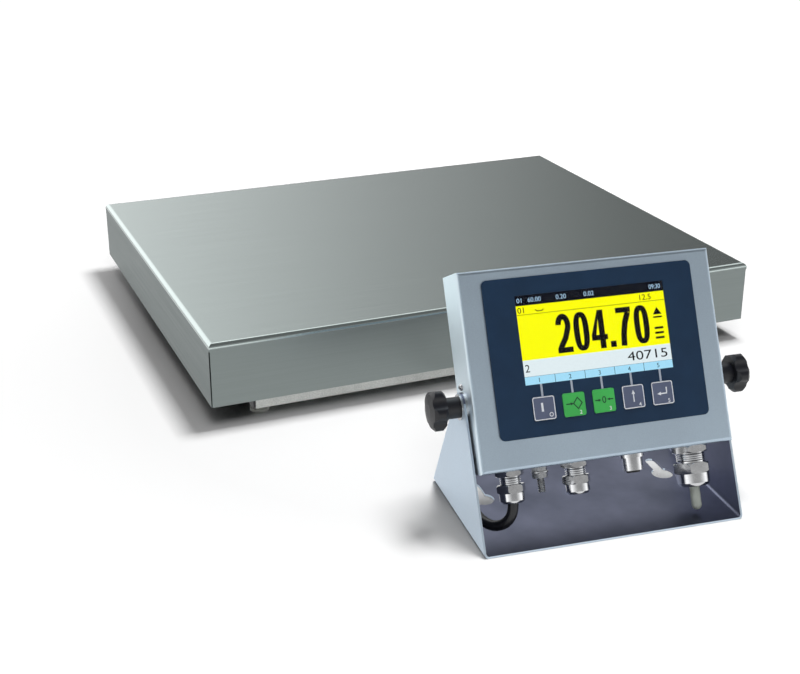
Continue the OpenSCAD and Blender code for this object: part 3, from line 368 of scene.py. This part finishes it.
# plastics, rubbers and films: colour varies a little, the grain breaks the gloss and is drawn coarser to show
mouldings = {
    "glassFilledNylon": {"colour": "#0D0F16", "roughness": 0.45, "grainMm": 0.8, "bump": 0.12, "ior": 1.53},
    "matteRubber": {"colour": "#141415", "roughness": 0.72, "grainMm": 1.0, "bump": 0.10, "ior": 1.5},
    "pvcCableJacket": {"colour": "#15161A", "roughness": 0.38, "grainMm": 1.4, "bump": 0.06, "ior": 1.53},
    "screenedPolyesterFilm": {"colour": "#19314B", "roughness": 0.5, "grainMm": 0.5, "bump": 0.05,
                              "ior": 1.57, "gloss": 0.25},
    "slateKeyFilm": {"colour": "#5A637C", "roughness": 0.5, "grainMm": 0.5, "bump": 0.05, "ior": 1.57},
    "greenKeyFilm": {"colour": "#44B858", "roughness": 0.5, "grainMm": 0.5, "bump": 0.05, "ior": 1.57},
    "naturalNylon": {"colour": "#D4D6CE", "roughness": 0.40, "grainMm": 1.2, "bump": 0.05, "ior": 1.53},
    "naturalPolyethylene": {"colour": "#C9D0C8", "roughness": 0.35, "grainMm": 1.0, "bump": 0.04,
                            "ior": 1.51},
    "glassEpoxyBoard": {"colour": "#1E5A36", "roughness": 0.35, "grainMm": 0.8, "bump": 0.08, "ior": 1.55},
    "displayFrame": {"colour": "#1A1C20", "roughness": 0.5, "grainMm": 0.8, "bump": 0.05, "ior": 1.5},
    "wovenTape": {"colour": "#1B1B1D", "roughness": 0.85, "grainMm": 0.9, "bump": 0.5, "ior": 1.5},
}
mouldingCloudMm = 18


def makeMoulding(name):
    look = mouldings[name]
    settings = {"IOR": look["ior"], "Specular IOR Level": look.get("gloss", 0.5)}
    material, tree, shader = startMaterial(name, settings)
    place = addNode(tree, "TexCoord").outputs["Object"]
    grain = addNode(tree, "TexNoise", {"Scale": 1000 / look["grainMm"], "Detail": 3}, {"Vector": place})
    cloud = addNode(tree, "TexNoise", {"Scale": 1000 / mouldingCloudMm, "Detail": 2}, {"Vector": place})
    colour = linear(look["colour"])
    tone = addNode(tree, "ValToRGB", links={0: cloud.outputs[0]})
    setRamp(tone, [(noiseLow, shadeOf(colour, 0.92)), (noiseHigh, shadeOf(colour, 1.08))])
    tree.links.new(tone.outputs[0], shader.inputs["Base Color"])
    low = look["roughness"] - 0.04
    high = look["roughness"] + 0.05
    rough = addNode(tree, "MapRange", {1: noiseLow, 2: noiseHigh, 3: low, 4: high}, {0: grain.outputs[0]})
    tree.links.new(rough.outputs[0], shader.inputs["Roughness"])
    bump = addNode(tree, "Bump", {"Strength": look["bump"], "Distance": grainDepth},
                   {"Height": grain.outputs[0]})
    tree.links.new(bump.outputs[0], shader.inputs["Normal"])
    return material


# acrylic window with an anti-reflection coat: clear, and it adds only a faint sheen over the display
clearAcrylic = {"ior": 1.49, "sheen": 0.12, "smearMm": 14, "roughness": (0.01, 0.04)}


def makeWindow():
    settings = {"Base Color": (1, 1, 1, 1), "Transmission Weight": 1, "IOR": clearAcrylic["ior"],
                "Specular Tint": (clearAcrylic["sheen"],) * 3 + (1,)}
    material, tree, shader = startMaterial("clearAcrylic", settings)
    smear = addNode(tree, "TexNoise", {"Scale": 1000 / clearAcrylic["smearMm"], "Detail": 3},
                    {"Vector": addNode(tree, "TexCoord").outputs["Object"]})
    low, high = clearAcrylic["roughness"]
    rough = addNode(tree, "MapRange", {1: noiseLow, 2: noiseHigh, 3: low, 4: high}, {0: smear.outputs[0]})
    tree.links.new(rough.outputs[0], shader.inputs["Roughness"])
    return material


# lit liquid crystal cells: their own light, broken up by the grid between the pixels, drawn coarser to show
litCellMm = 1.5


def makeLit(name, code):
    colour = linear(code)
    settings = {"Base Color": (0.002, 0.002, 0.003, 1), "Roughness": 0.5, "Specular IOR Level": 0,
                "Emission Strength": 1}
    material, tree, shader = startMaterial(name, settings)
    place = addNode(tree, "TexCoord").outputs["Object"]
    cells = addNode(tree, "TexNoise", {"Scale": 1000 / litCellMm, "Detail": 1}, {"Vector": place})
    tone = addNode(tree, "ValToRGB", links={0: cells.outputs[0]})
    setRamp(tone, [(noiseLow, shadeOf(colour, 0.97)), (noiseHigh, colour)])
    tree.links.new(tone.outputs[0], shader.inputs["Emission Color"])
    return material


# screen ink: flat, opaque, a little raised, with specks drawn coarser to show
inkSpeckMm = 0.7


def makeInk(name, code):
    material, tree, shader = startMaterial(name, {"Roughness": 0.45})
    place = addNode(tree, "TexCoord").outputs["Object"]
    speck = addNode(tree, "TexNoise", {"Scale": 1000 / inkSpeckMm, "Detail": 2}, {"Vector": place})
    colour = linear(code)
    tone = addNode(tree, "ValToRGB", links={0: speck.outputs[0]})
    setRamp(tone, [(noiseLow, shadeOf(colour, 0.9)), (noiseHigh, colour)])
    tree.links.new(tone.outputs[0], shader.inputs["Base Color"])
    return material


materials = {name: makeMoulding(name) for name in mouldings}
materials["groundSheet"] = makeGroundSheet()
for finish, name, look in (("satinSheet", "satinStainlessSheet", satinSheet),
                           ("bracketSheet", "satinStainlessBracket", bracketSheet),
                           ("blastedTube", "blastedStainlessTube", blastedTube),
                           ("milledAluminium", "milledAluminium", milledAluminium),
                           ("turnedSteel", "turnedStainlessSteel", turnedSteel),
                           ("earthThread", "rolledEarthThread", earthThread),
                           ("stopThread", "rolledStopThread", stopThread),
                           ("platedBrass", "nickelPlatedBrass", platedBrass)):
    materials[finish] = makeSatinSheet(name, look)
materials["window"] = makeWindow()

finishes = {
    "groundSheet": ["load_plate"],
    "satinSheet": ["housing", "rear_cover"],
    "bracketSheet": ["bracket"],
    "blastedTube": ["base_beam", "base_rail_front", "base_rail_rear", "cable_bracket"],
    "milledAluminium": ["upper_beam", "upper_arm_front", "upper_arm_rear", "cell_spacers", "load_cell"],
    "earthThread": ["earth_stud"],
    "stopThread": ["overload_stops"],
    "turnedSteel": ["load_cell_bolts", "frame_lock_nuts", "housing_screws", "pivot_bosses",
                    "knob_stud_left", "knob_stud_right", "ear_washers", "pivot_spacers", "earth_nuts"],
    "platedBrass": ["platform_gland_body", "platform_gland_nuts", "gland_bodies", "gland_nuts",
                    "gland_lock_nuts", "data_socket", "board_standoffs"],
    "glassFilledNylon": ["rail_end_caps", "spirit_level", "knob_left", "knob_right", "data_socket_insert",
                         "power_module"],
    "matteRubber": ["plate_buffers", "cover_gasket", "gland_seals", "platform_gland_seal"],
    "wovenTape": ["coil_tie"],
    "pvcCableJacket": ["load_cell_lead", "cable_lead", "cable_coil", "cable_tail"],
    "screenedPolyesterFilm": ["keypad_overlay"],
    "slateKeyFilm": ["key_1", "key_4", "key_5"],
    "greenKeyFilm": ["key_2", "key_3"],
    "window": ["display_window"],
    "displayFrame": ["display_module"],
    "glassEpoxyBoard": ["main_board"],
    "naturalNylon": ["foot_front_left", "foot_front_right", "foot_rear_left", "foot_rear_right"],
    "naturalPolyethylene": ["gland_plug"],
}
for finish, names in finishes.items():
    for name in names:
        data = nodes[name].data
        data.materials.clear()
        data.materials.append(materials[finish])
cablePiece.data.materials.append(materials["pvcCableJacket"])
print("materials on", sum(len(names) for names in finishes.values()), "nodes")

# display: what the lit panel shows, in millimetres on the head's face, with generic figures
display = {
    "left": -55, "right": 55, "top": 70, "bottom": 9, "front": -20.4, "glass": 2.9,
    "statusFoot": 63, "infoFoot": 56.6, "bigFoot": 25.8, "rowFoot": 14.5, "line": 0.3,
    "colours": {"status": "#070A14", "bright": "#FFFF00", "row": "#E2EFF3", "softKeys": "#A5DFF9",
                "ink": "#06060A", "statusInk": "#A9CDEB"},
    "bold": {"text": "204.70", "left": -28, "foot": 27.9, "wide": 11.1, "tall": 26.6, "stem": 4.2,
             "bar": 3.7, "gap": 1.9},
    # figures, height, left edge, foot, width or None, weight added to the strokes
    "ink": [("2", 5.2, -53.5, 17.6, None, 0), ("40715", 6.2, 22, 17.0, 30, 0),
            ("01", 3.9, -53.8, 57.9, 4.6, 0), ("12.5", 3.9, 36.5, 57.9, 8.5, 0)],
    "status": [("01", 3.1, -53.6, 65.0, 3.6, 0), ("60.00", 3.1, -45.5, 65.0, 9.5, 0),
               ("0.20", 3.1, -25, 65.0, 7.5, 0), ("0.02", 3.1, -4.5, 65.0, 7.5, 0),
               ("09:30", 3.1, 44.5, 65.0, 8.6, 0)],
    "softKeys": [(str(number), 3.0, left, 10.2, None, 0)
                 for number, left in enumerate((-44.6, -22.9, -0.9, 21.1, 43.1), 1)],
    "softKeyEdges": (-33, -11, 11, 33),
    # signs: a level mark in the info line, a peak over a line and three bars beside the figures
    "levelMark": [(-41, 59.9), (-39.4, 58.7), (-36.6, 58.7), (-35, 59.9), (-35, 59.1), (-36.2, 58.1),
                  (-39.8, 58.1), (-41, 59.1)],
    "peak": [(45, 47), (51.5, 47), (48.25, 52)],
    "signLeft": 45, "signRight": 51.5, "signLine": (44.6, 45.7), "signBars": (30, 33.4, 36.8), "signBar": 1.5,
    "proud": 0.045,  # how far the figures stand before the cells
}
inkThick = 0.04  # half the thickness of prints and figures, in millimetres
fontDepth = 0.001  # half the depth of the font before it is scaled to that


def addPlate(build, corners, place, surface, thick=inkThick):
    # thin flat shape: its outline in x and z, standing out of the surface at y
    front = [build.verts.new(place @ (Vector((x, surface - thick, z)) * mm)) for x, z in corners]
    back = [build.verts.new(place @ (Vector((x, surface + thick, z)) * mm)) for x, z in corners]
    build.faces.new(front)
    build.faces.new(list(reversed(back)))
    for i in range(len(corners)):
        j = (i + 1) % len(corners)
        build.faces.new((front[j], front[i], back[i], back[j]))


def addBar(build, x0, z0, x1, z1, place, surface, thick=inkThick):
    addPlate(build, [(x0, z0), (x1, z0), (x1, z1), (x0, z1)], place, surface, thick)


def addRing(build, outer, inner, place, surface, thick=inkThick):
    rows = [[build.verts.new(place @ (Vector((x, surface + dy, z)) * mm)) for x, z in ring]
            for ring, dy in ((outer, -thick), (inner, -thick), (inner, thick), (outer, thick))]
    count = len(outer)
    for a, b in zip(rows, rows[1:] + rows[:1]):
        for i in range(count):
            j = (i + 1) % count
            build.faces.new((a[i], a[j], b[j], b[i]))


def addFigures(build, text, height, left, foot, width, weight, place, surface):
    # figures of the built-in font, brought to the stated height and width
    curve = bpy.data.curves.new("figures", "FONT")
    curve.body = text
    curve.offset = weight
    curve.extrude = fontDepth
    holder = bpy.data.objects.new("figures", curve)
    scene.collection.objects.link(holder)
    bpy.context.view_layer.update()
    mesh = bpy.data.meshes.new_from_object(holder.evaluated_get(bpy.context.evaluated_depsgraph_get()))
    bpy.data.objects.remove(holder)
    xs = [v.co.x for v in mesh.vertices]
    ys = [v.co.y for v in mesh.vertices]
    tall = height / (max(ys) - min(ys))
    wide = width / (max(xs) - min(xs)) if width else tall
    for v in mesh.vertices:
        spot = Vector((left + (v.co.x - min(xs)) * wide, surface - v.co.z * inkThick / fontDepth,
                       foot + (v.co.y - min(ys)) * tall))
        v.co = place @ (spot * mm)
    build.from_mesh(mesh)
    bpy.data.meshes.remove(mesh)


def ribbon(points, width):
    # outline of a stroke of even width along its middle line
    left = []
    right = []
    for i, point in enumerate(points):
        along = (Vector(points[min(i + 1, len(points) - 1)]) - Vector(points[max(i - 1, 0)])).normalized()
        side = Vector((-along.y, along.x)) * width / 2
        left.append(tuple(Vector(point) + side))
        right.append(tuple(Vector(point) - side))
    return left + right[::-1]


def addBoldFigures(build, look, place, surface):
    # narrow heavy figures, stroke by stroke, for the digits that the reading uses
    w, h, stem, bar = look["wide"], look["tall"], look["stem"], look["bar"]
    start = look["left"]
    for digit in look["text"]:
        shapes = []
        rings = []
        if digit == ".":
            shapes.append([(0, 0), (stem, 0), (stem, stem), (0, stem)])
        if digit == "0":
            rings.append([[(w / 2 + a * abs(cos(t)) ** 0.75 * (1 if cos(t) > 0 else -1),
                            h / 2 + b * abs(sin(t)) ** 0.75 * (1 if sin(t) > 0 else -1))
                           for t in (2 * pi * (k + 0.5) / 48 for k in range(48))]
                          for a, b in ((w / 2, h / 2), (w / 2 - stem, h / 2 - bar))])
        if digit == "2":
            bow = [(w / 2 + (w - stem) / 2 * cos(t), 0.71 * h + (0.29 * h - bar / 2) * sin(t))
                   for t in (radians(degree) for degree in range(176, -31, -6))]
            neck = [(0.58 * w, 0.38 * h), (0.3 * w, 0.2 * h), (0.2 * w, 0.8 * bar)]
            shapes.append(ribbon(bow + neck, stem * 0.95))
            shapes.append([(0, 0), (w, 0), (w, bar), (0, bar)])
        if digit == "4":
            post = w - stem - 1.5
            low = 0.22 * h
            top = low + bar
            shapes.append([(post, 0), (post + stem, 0), (post + stem, h), (post, h)])
            shapes.append([(-0.4, low), (w + 0.3, low), (w + 0.3, top), (-0.4, top)])
            shapes.append([(-0.4, top), (0.28 * w, top), (post + 0.2, 0.8 * h), (post + 0.2, h)])
        if digit == "7":
            shapes.append([(0, h - bar), (w, h - bar), (w, h), (0, h)])
            slope = [(w - 0.5 * stem, h - bar), (0.55 * w, 0.6 * h), (0.4 * w, 0.3 * h), (0.34 * w, 0)]
            shapes.append(ribbon(slope, stem))
        for shape in shapes:
            addPlate(build, [(start + x, look["foot"] + z) for x, z in shape], place, surface)
        for pair in rings:
            outer, inner = ([(start + x, look["foot"] + z) for x, z in ring] for ring in pair)
            addRing(build, outer, inner, place, surface)
        start += (stem if digit == "." else w) + look["gap"]


def finishPiece(build, name, material, body):
    bmesh.ops.recalc_face_normals(build, faces=build.faces)
    mesh = bpy.data.meshes.new(name)
    build.to_mesh(mesh)
    build.free()
    return newPiece(name, mesh, material, body)


def buildDisplay():
    d = display
    code = d["colours"]
    zones = [("status", d["statusFoot"], d["top"]), ("bright", d["bigFoot"], d["statusFoot"]),
             ("row", d["rowFoot"], d["bigFoot"]), ("softKeys", d["bottom"], d["rowFoot"])]
    for name, foot, top in zones:
        build = bmesh.new()
        half = d["glass"] / 2
        addBar(build, d["left"], foot, d["right"], top, headPlace, d["front"] + half, half)
        lit = makeLit(name + "Cells", code[name])
        finishPiece(build, "display_" + name, lit, "terminal")
    over = d["front"] - d["proud"]
    build = bmesh.new()
    addBoldFigures(build, d["bold"], headPlace, over)
    for row in d["ink"] + d["softKeys"]:
        addFigures(build, *row, headPlace, over)
    addBar(build, d["left"], d["infoFoot"], d["right"], d["infoFoot"] + d["line"], headPlace, over)
    addBar(build, d["left"], d["rowFoot"], d["right"], d["rowFoot"] + d["line"] / 2, headPlace, over)
    for x in d["softKeyEdges"]:
        addBar(build, x, d["bottom"], x + d["line"], d["rowFoot"], headPlace, over)
    addPlate(build, d["levelMark"], headPlace, over)
    addPlate(build, d["peak"], headPlace, over)
    for low, high in [d["signLine"]] + [(z, z + d["signBar"]) for z in d["signBars"]]:
        addBar(build, d["signLeft"], low, d["signRight"], high, headPlace, over)
    finishPiece(build, "display_figures", makeLit("darkFigures", code["ink"]), "terminal")
    build = bmesh.new()
    for row in d["status"]:
        addFigures(build, *row, headPlace, over)
    pale = makeLit("paleFigures", code["statusInk"])
    finishPiece(build, "display_status_figures", pale, "terminal")


buildDisplay()
print("display lit")

# prints on the overlay and the keys, on the surfaces that the drawing gives them
prints = {
    "keyPlaces": (-44, -22, 0, 22, 44), "keyMiddle": -7.7, "keySize": 16, "keyFront": -22.2,
    "overlayFront": -21.7, "keyProud": 0.05, "overlayProud": 0.03, "outline": 0.7,
    "leadWidth": 1.5, "leadFoot": 0.35, "leadTop": 9,
    "white": "#F4F7FC", "lead": "#B4BDCB", "dark": "#173A2C",
    "corner": (2.6, 3.4, -6.9),  # height, left edge and foot of the small figure
}


def roundedSquare(half, radius, steps=6):
    # outline points around a square with round corners
    out = []
    for sx, sz, start in ((1, 1, 0), (-1, 1, 90), (-1, -1, 180), (1, -1, 270)):
        for k in range(steps + 1):
            angle = radians(start + 90 * k / steps)
            out.append((sx * (half - radius) + radius * cos(angle),
                        sz * (half - radius) + radius * sin(angle)))
    return out


def circle(radius, middle=(0, 0), steps=20):
    return [(middle[0] + radius * cos(2 * pi * k / steps), middle[1] + radius * sin(2 * pi * k / steps))
            for k in range(steps)]


def arrow(tip, tail, wide, head):
    # filled arrow as one outline, pointing from tail to tip
    along = (Vector(tip) - Vector(tail)).normalized()
    side = Vector((-along.y, along.x))
    neck = Vector(tip) - along * head
    spots = [Vector(tail) + side * wide / 2, neck + side * wide / 2, neck + side * head * 0.45, Vector(tip),
             neck - side * head * 0.45, neck - side * wide / 2, Vector(tail) - side * wide / 2]
    return [tuple(p) for p in spots]


def buildPrints():
    p = prints
    white = makeInk("whiteScreenInk", p["white"])
    dark = makeInk("darkScreenInk", p["dark"])
    surface = p["keyFront"] - p["keyProud"]
    for number, x in enumerate(p["keyPlaces"], 1):
        place = headPlace @ Matrix.Translation((x * mm, 0, p["keyMiddle"] * mm))
        build = bmesh.new()
        symbols = bmesh.new()
        half = p["keySize"] / 2
        if number in (1, 4, 5):
            addRing(build, roundedSquare(half - 0.1, 1.4), roundedSquare(half - p["outline"], 0.9), place,
                    surface)
        if number == 1:
            addFigures(build, "1", 6.0, -2.0, -2.2, None, 0.05, place, surface)
            addRing(build, circle(1.5, (4.7, -4.7)), circle(1.0, (4.7, -4.7)), place, surface)
        else:
            addFigures(build, str(number), *p["corner"], None, 0.01, place, surface)
        if number == 2:
            addPlate(symbols, arrow((-0.4, 0.6), (-6, 0.6), 0.7, 2.2), place, surface)
            addRing(symbols, [(6.2, 0.6), (2.6, 5), (-1, 0.6), (2.6, -3.8)],
                    [(5.3, 0.6), (2.6, 3.9), (-0.1, 0.6), (2.6, -2.7)], place, surface)
        if number == 3:
            addFigures(symbols, "0", 4.6, -1.4, -1.7, None, 0, place, surface)
            addPlate(symbols, arrow((-2.1, 0.6), (-6.6, 0.6), 0.7, 2.0), place, surface)
            addPlate(symbols, arrow((2.3, 0.6), (6.8, 0.6), 0.7, 2.0), place, surface)
        if number == 4:
            addPlate(build, arrow((0, 4.6), (0, -3.6), 0.8, 2.8), place, surface)
        if number == 5:
            addPlate(build, arrow((-4.2, -0.4), (3.2, -0.4), 0.8, 2.8), place, surface)
            addBar(build, 2.6, 0, 3.4, 3.8, place, surface)
        finishPiece(build, "key_%d_print" % number, white, "key_%d" % number)
        if symbols.verts:
            finishPiece(symbols, "key_%d_symbol" % number, dark, "key_%d" % number)
        else:
            symbols.free()
    build = bmesh.new()
    for x in p["keyPlaces"]:
        half = p["leadWidth"] / 2
        addBar(build, x - half, p["leadFoot"], x + half, p["leadTop"], headPlace,
               p["overlayFront"] - p["overlayProud"])
    finishPiece(build, "overlay_lead_lines", makeInk("greyScreenInk", p["lead"]), "terminal")


buildPrints()
print("prints on keys and overlay")

# spirit level: green liquid with its bubble and a ring on the dome, in the well of its housing
level = {"middle": (106.5, -175), "foot": 31.2, "top": 35.6, "radius": 7.2, "crown": 0.35,
         "bubble": (1.2, 0.6, 2.1), "ring": 3.1, "ringWide": 0.35, "driftMm": 6,
         "liquid": "#9CCB3A", "air": "#E9F3CF", "mark": "#101010"}


def lathe(name, profile, middle, material, body, steps=32):
    # turns a profile of radius and height about an upright line
    build = bmesh.new()
    rows = [[build.verts.new(platformPlace @ (Vector((middle[0] + r * cos(2 * pi * k / steps),
                                                      middle[1] + r * sin(2 * pi * k / steps), z)) * mm))
             for k in range(steps)] for r, z in profile]
    for a, b in zip(rows, rows[1:]):
        for k in range(steps):
            build.faces.new((a[k], a[(k + 1) % steps], b[(k + 1) % steps], b[k]))
    build.faces.new(rows[0][::-1])
    build.faces.new(rows[-1])
    piece = finishPiece(build, name, material, body)
    for face in piece.data.polygons:
        face.use_smooth = len(face.vertices) == 4
    return piece


def makeLevelLiquid():
    # coloured alcohol under a clear dome: glossy, with the colour a little deeper to one side
    settings = {"Roughness": 0.05, "IOR": 1.49, "Coat Weight": 0.6}
    material, tree, shader = startMaterial("levelLiquid", settings)
    place = addNode(tree, "TexCoord").outputs["Object"]
    drift = addNode(tree, "TexNoise", {"Scale": 1000 / level["driftMm"]}, {"Vector": place})
    tone = addNode(tree, "ValToRGB", links={0: drift.outputs[0]})
    colour = linear(level["liquid"])
    setRamp(tone, [(noiseLow, shadeOf(colour, 0.85)), (noiseHigh, colour)])
    tree.links.new(tone.outputs[0], shader.inputs["Base Color"])
    return material


def buildLevel():
    r, top, crown = level["radius"], level["top"], level["crown"]
    dome = [(r * cos(t) + 0.02, top + crown * sin(t)) for t in (radians(a) for a in range(0, 90, 15))]
    cap = top + crown
    filled = [(r, level["foot"])] + dome + [(0.05, cap)]
    lathe("level_liquid", filled, level["middle"], makeLevelLiquid(), "base")
    bx, by, br = level["bubble"]
    spot = (level["middle"][0] + bx, level["middle"][1] + by)
    blob = [(br, cap - 0.1), (br * 0.9, cap + 0.03), (br * 0.5, cap + 0.09), (0.05, cap + 0.11)]
    lathe("level_bubble", blob, spot, makeInk("paleBubble", level["air"]), "base")
    inner = level["ring"]
    outer = inner + level["ringWide"]
    band = [(inner, cap - 0.15), (inner, cap + 0.04), (outer, cap + 0.03), (outer, cap - 0.15)]
    lathe("level_ring", band, level["middle"], makeInk("levelRing", level["mark"]), "base")


buildLevel()
print("spirit level filled")

# studio: white paper floor, a soft box high at the right for the shadow, a soft fill high in front
studio = {
    "floor": "#F4F4F4", "floorSize": 14, "floorInMetal": 0.95, "plainInMetal": 0.7,
    # light that the paper adds to the eye alone, by the distance from the middle in metres
    "floorGlow": [(0.3, 0), (0.6, 0.25), (2.7, 0.9)],
    "aim": (0, 0, 0.05),
    "key": (0.34, 0.04, 1.92), "keySize": 0.5, "keyWatts": 32,
    "fill": (-0.4, -1.3, 2.1), "fillSize": 1.0, "fillWatts": 12,
    "sky": 0.32,
    # what metal sees: from left to right behind, a strip over that, from the floor up in front, a dim ceiling
    "behind": [(-0.75, 0.85), (-0.45, 1.7), (-0.1, 1.7), (0.1, 1.15), (0.2, 0.88), (0.35, 0.5), (0.5, 0.22),
               (0.66, 0.1), (0.9, 0.6)],
    "strip": [(0.54, 0), (0.64, 1.4), (0.78, 1.4), (0.86, 0)],
    "front": [(0.1, 1.5), (0.34, 0.4), (0.58, 0.38), (0.72, 0.2)],
    "ceiling": [(0.84, 1), (0.92, 0.3)],
}


def shadeAlong(tree, socket, stops):
    # grey by steps along one value: the stops give the value and how bright it is there
    low = stops[0][0]
    high = stops[-1][0]
    share = addNode(tree, "MapRange", {1: low, 2: high}, {0: socket})
    ramp = addNode(tree, "ValToRGB", links={0: share.outputs[0]})
    setRamp(ramp, [((place - low) / (high - low), (grey, grey, grey, 1)) for place, grey in stops])
    return ramp.outputs[0]


def seenInMetal(tree, path):
    # 1 for what the eye sees in metal, and not for light that metal throws on dull surfaces
    first = addNode(tree, "Math", {"operation": "LESS_THAN", 1: 0.5}, {0: path.outputs["Diffuse Depth"]})
    seen = addNode(tree, "Math", {"operation": "MULTIPLY"},
                   {0: path.outputs["Is Glossy Ray"], 1: first.outputs[0]})
    return seen.outputs[0]


def buildStudio():
    build = bmesh.new()
    bmesh.ops.create_grid(build, x_segments=4, y_segments=4, size=studio["floorSize"] / 2)
    mesh = bpy.data.meshes.new("studioFloor")
    build.to_mesh(mesh)
    build.free()
    settings = {"Base Color": linear(studio["floor"]), "Roughness": 0.9, "Specular IOR Level": 0,
                "Emission Color": (1, 1, 1, 1)}
    material, tree, shader = startMaterial("paperFloor", settings)
    # lamps reach only the middle, so the far floor glows to the eye and stays white up to the horizon
    place = addNode(tree, "TexCoord").outputs["Object"]
    away = addNode(tree, "VectorMath", {"operation": "LENGTH"}, {0: place})
    glow = shadeAlong(tree, away.outputs["Value"], studio["floorGlow"])
    path = addNode(tree, "LightPath")
    seen = addNode(tree, "Math", {"operation": "MAXIMUM"},
                   {0: path.outputs["Is Camera Ray"], 1: path.outputs["Is Transmission Ray"]})
    lit = addNode(tree, "Math", {"operation": "MULTIPLY"}, {0: seen.outputs[0], 1: glow})
    tree.links.new(lit.outputs[0], shader.inputs["Emission Strength"])
    # metal sees the same white paper, with only a part of the shadow on it
    plain = addNode(tree, "Emission", {"Color": (1, 1, 1, 1), "Strength": studio["floorInMetal"]})
    part = addNode(tree, "Math", {"operation": "MULTIPLY", 1: studio["plainInMetal"]},
                   {0: seenInMetal(tree, path)})
    both = addNode(tree, "MixShader", links={0: part.outputs[0], 1: shader.outputs[0], 2: plain.outputs[0]})
    out = [node for node in tree.nodes if node.type == "OUTPUT_MATERIAL"][0]
    tree.links.new(both.outputs[0], out.inputs["Surface"])
    newPiece("studioFloor", mesh, material)
    for name in ("key", "fill"):
        lamp = bpy.data.lights.new(name + "Softbox", "AREA")
        lamp.shape = "SQUARE"
        lamp.size = studio[name + "Size"]
        lamp.energy = studio[name + "Watts"]
        box = bpy.data.objects.new(name + "Softbox", lamp)
        box.location = studio[name]
        toward = Vector(studio["aim"]) - box.location
        box.rotation_euler = toward.to_track_quat("-Z", "Y").to_euler()
        box.visible_glossy = False
        scene.collection.objects.link(box)


def buildWorld():
    # white to the eye and through glass; metal sees shades of its own, darker to the right and overhead
    world = bpy.data.worlds.new("studioWorld")
    scene.world = world
    world.use_nodes = True
    tree = world.node_tree
    tree.nodes.clear()
    way = addNode(tree, "SeparateXYZ", links={0: addNode(tree, "TexCoord").outputs["Generated"]})
    along = shadeAlong(tree, way.outputs[0], studio["behind"])
    strip, ceiling, front = (shadeAlong(tree, way.outputs[2], studio[name])
                             for name in ("strip", "ceiling", "front"))
    behind = addNode(tree, "Math", {"operation": "ADD"}, {0: along, 1: strip})
    hung = addNode(tree, "Math", {"operation": "MULTIPLY"}, {0: behind.outputs[0], 1: ceiling})
    back = addNode(tree, "MapRange", {"interpolation_type": "SMOOTHSTEP", 1: -0.1, 2: 0.2},
                   {0: way.outputs[1]})
    shade = addNode(tree, "Mix", {"data_type": "FLOAT"},
                    {0: back.outputs[0], 2: front, 3: hung.outputs[0]})
    # dull surfaces are lit from above only, so the shade gathers under the object
    soft = addNode(tree, "MapRange", {"interpolation_type": "SMOOTHSTEP", 1: 0.35, 2: 1, 4: studio["sky"]},
                   {0: way.outputs[2]})
    path = addNode(tree, "LightPath")
    plain = addNode(tree, "Mix", {"data_type": "FLOAT"},
                    {0: seenInMetal(tree, path), 2: soft.outputs[0], 3: shade.outputs[0]})
    clear = addNode(tree, "Math", {"operation": "MAXIMUM"},
                    {0: path.outputs["Is Camera Ray"], 1: path.outputs["Is Transmission Ray"]})
    white = addNode(tree, "Mix", {"data_type": "FLOAT", 3: 1.0}, {0: clear.outputs[0], 2: plain.outputs[0]})
    sky = addNode(tree, "Background", {"Color": (1, 1, 1, 1)}, {"Strength": white.outputs[0]})
    addNode(tree, "OutputWorld", links={"Surface": sky.outputs[0]})


buildStudio()
buildWorld()
print("studio lit")
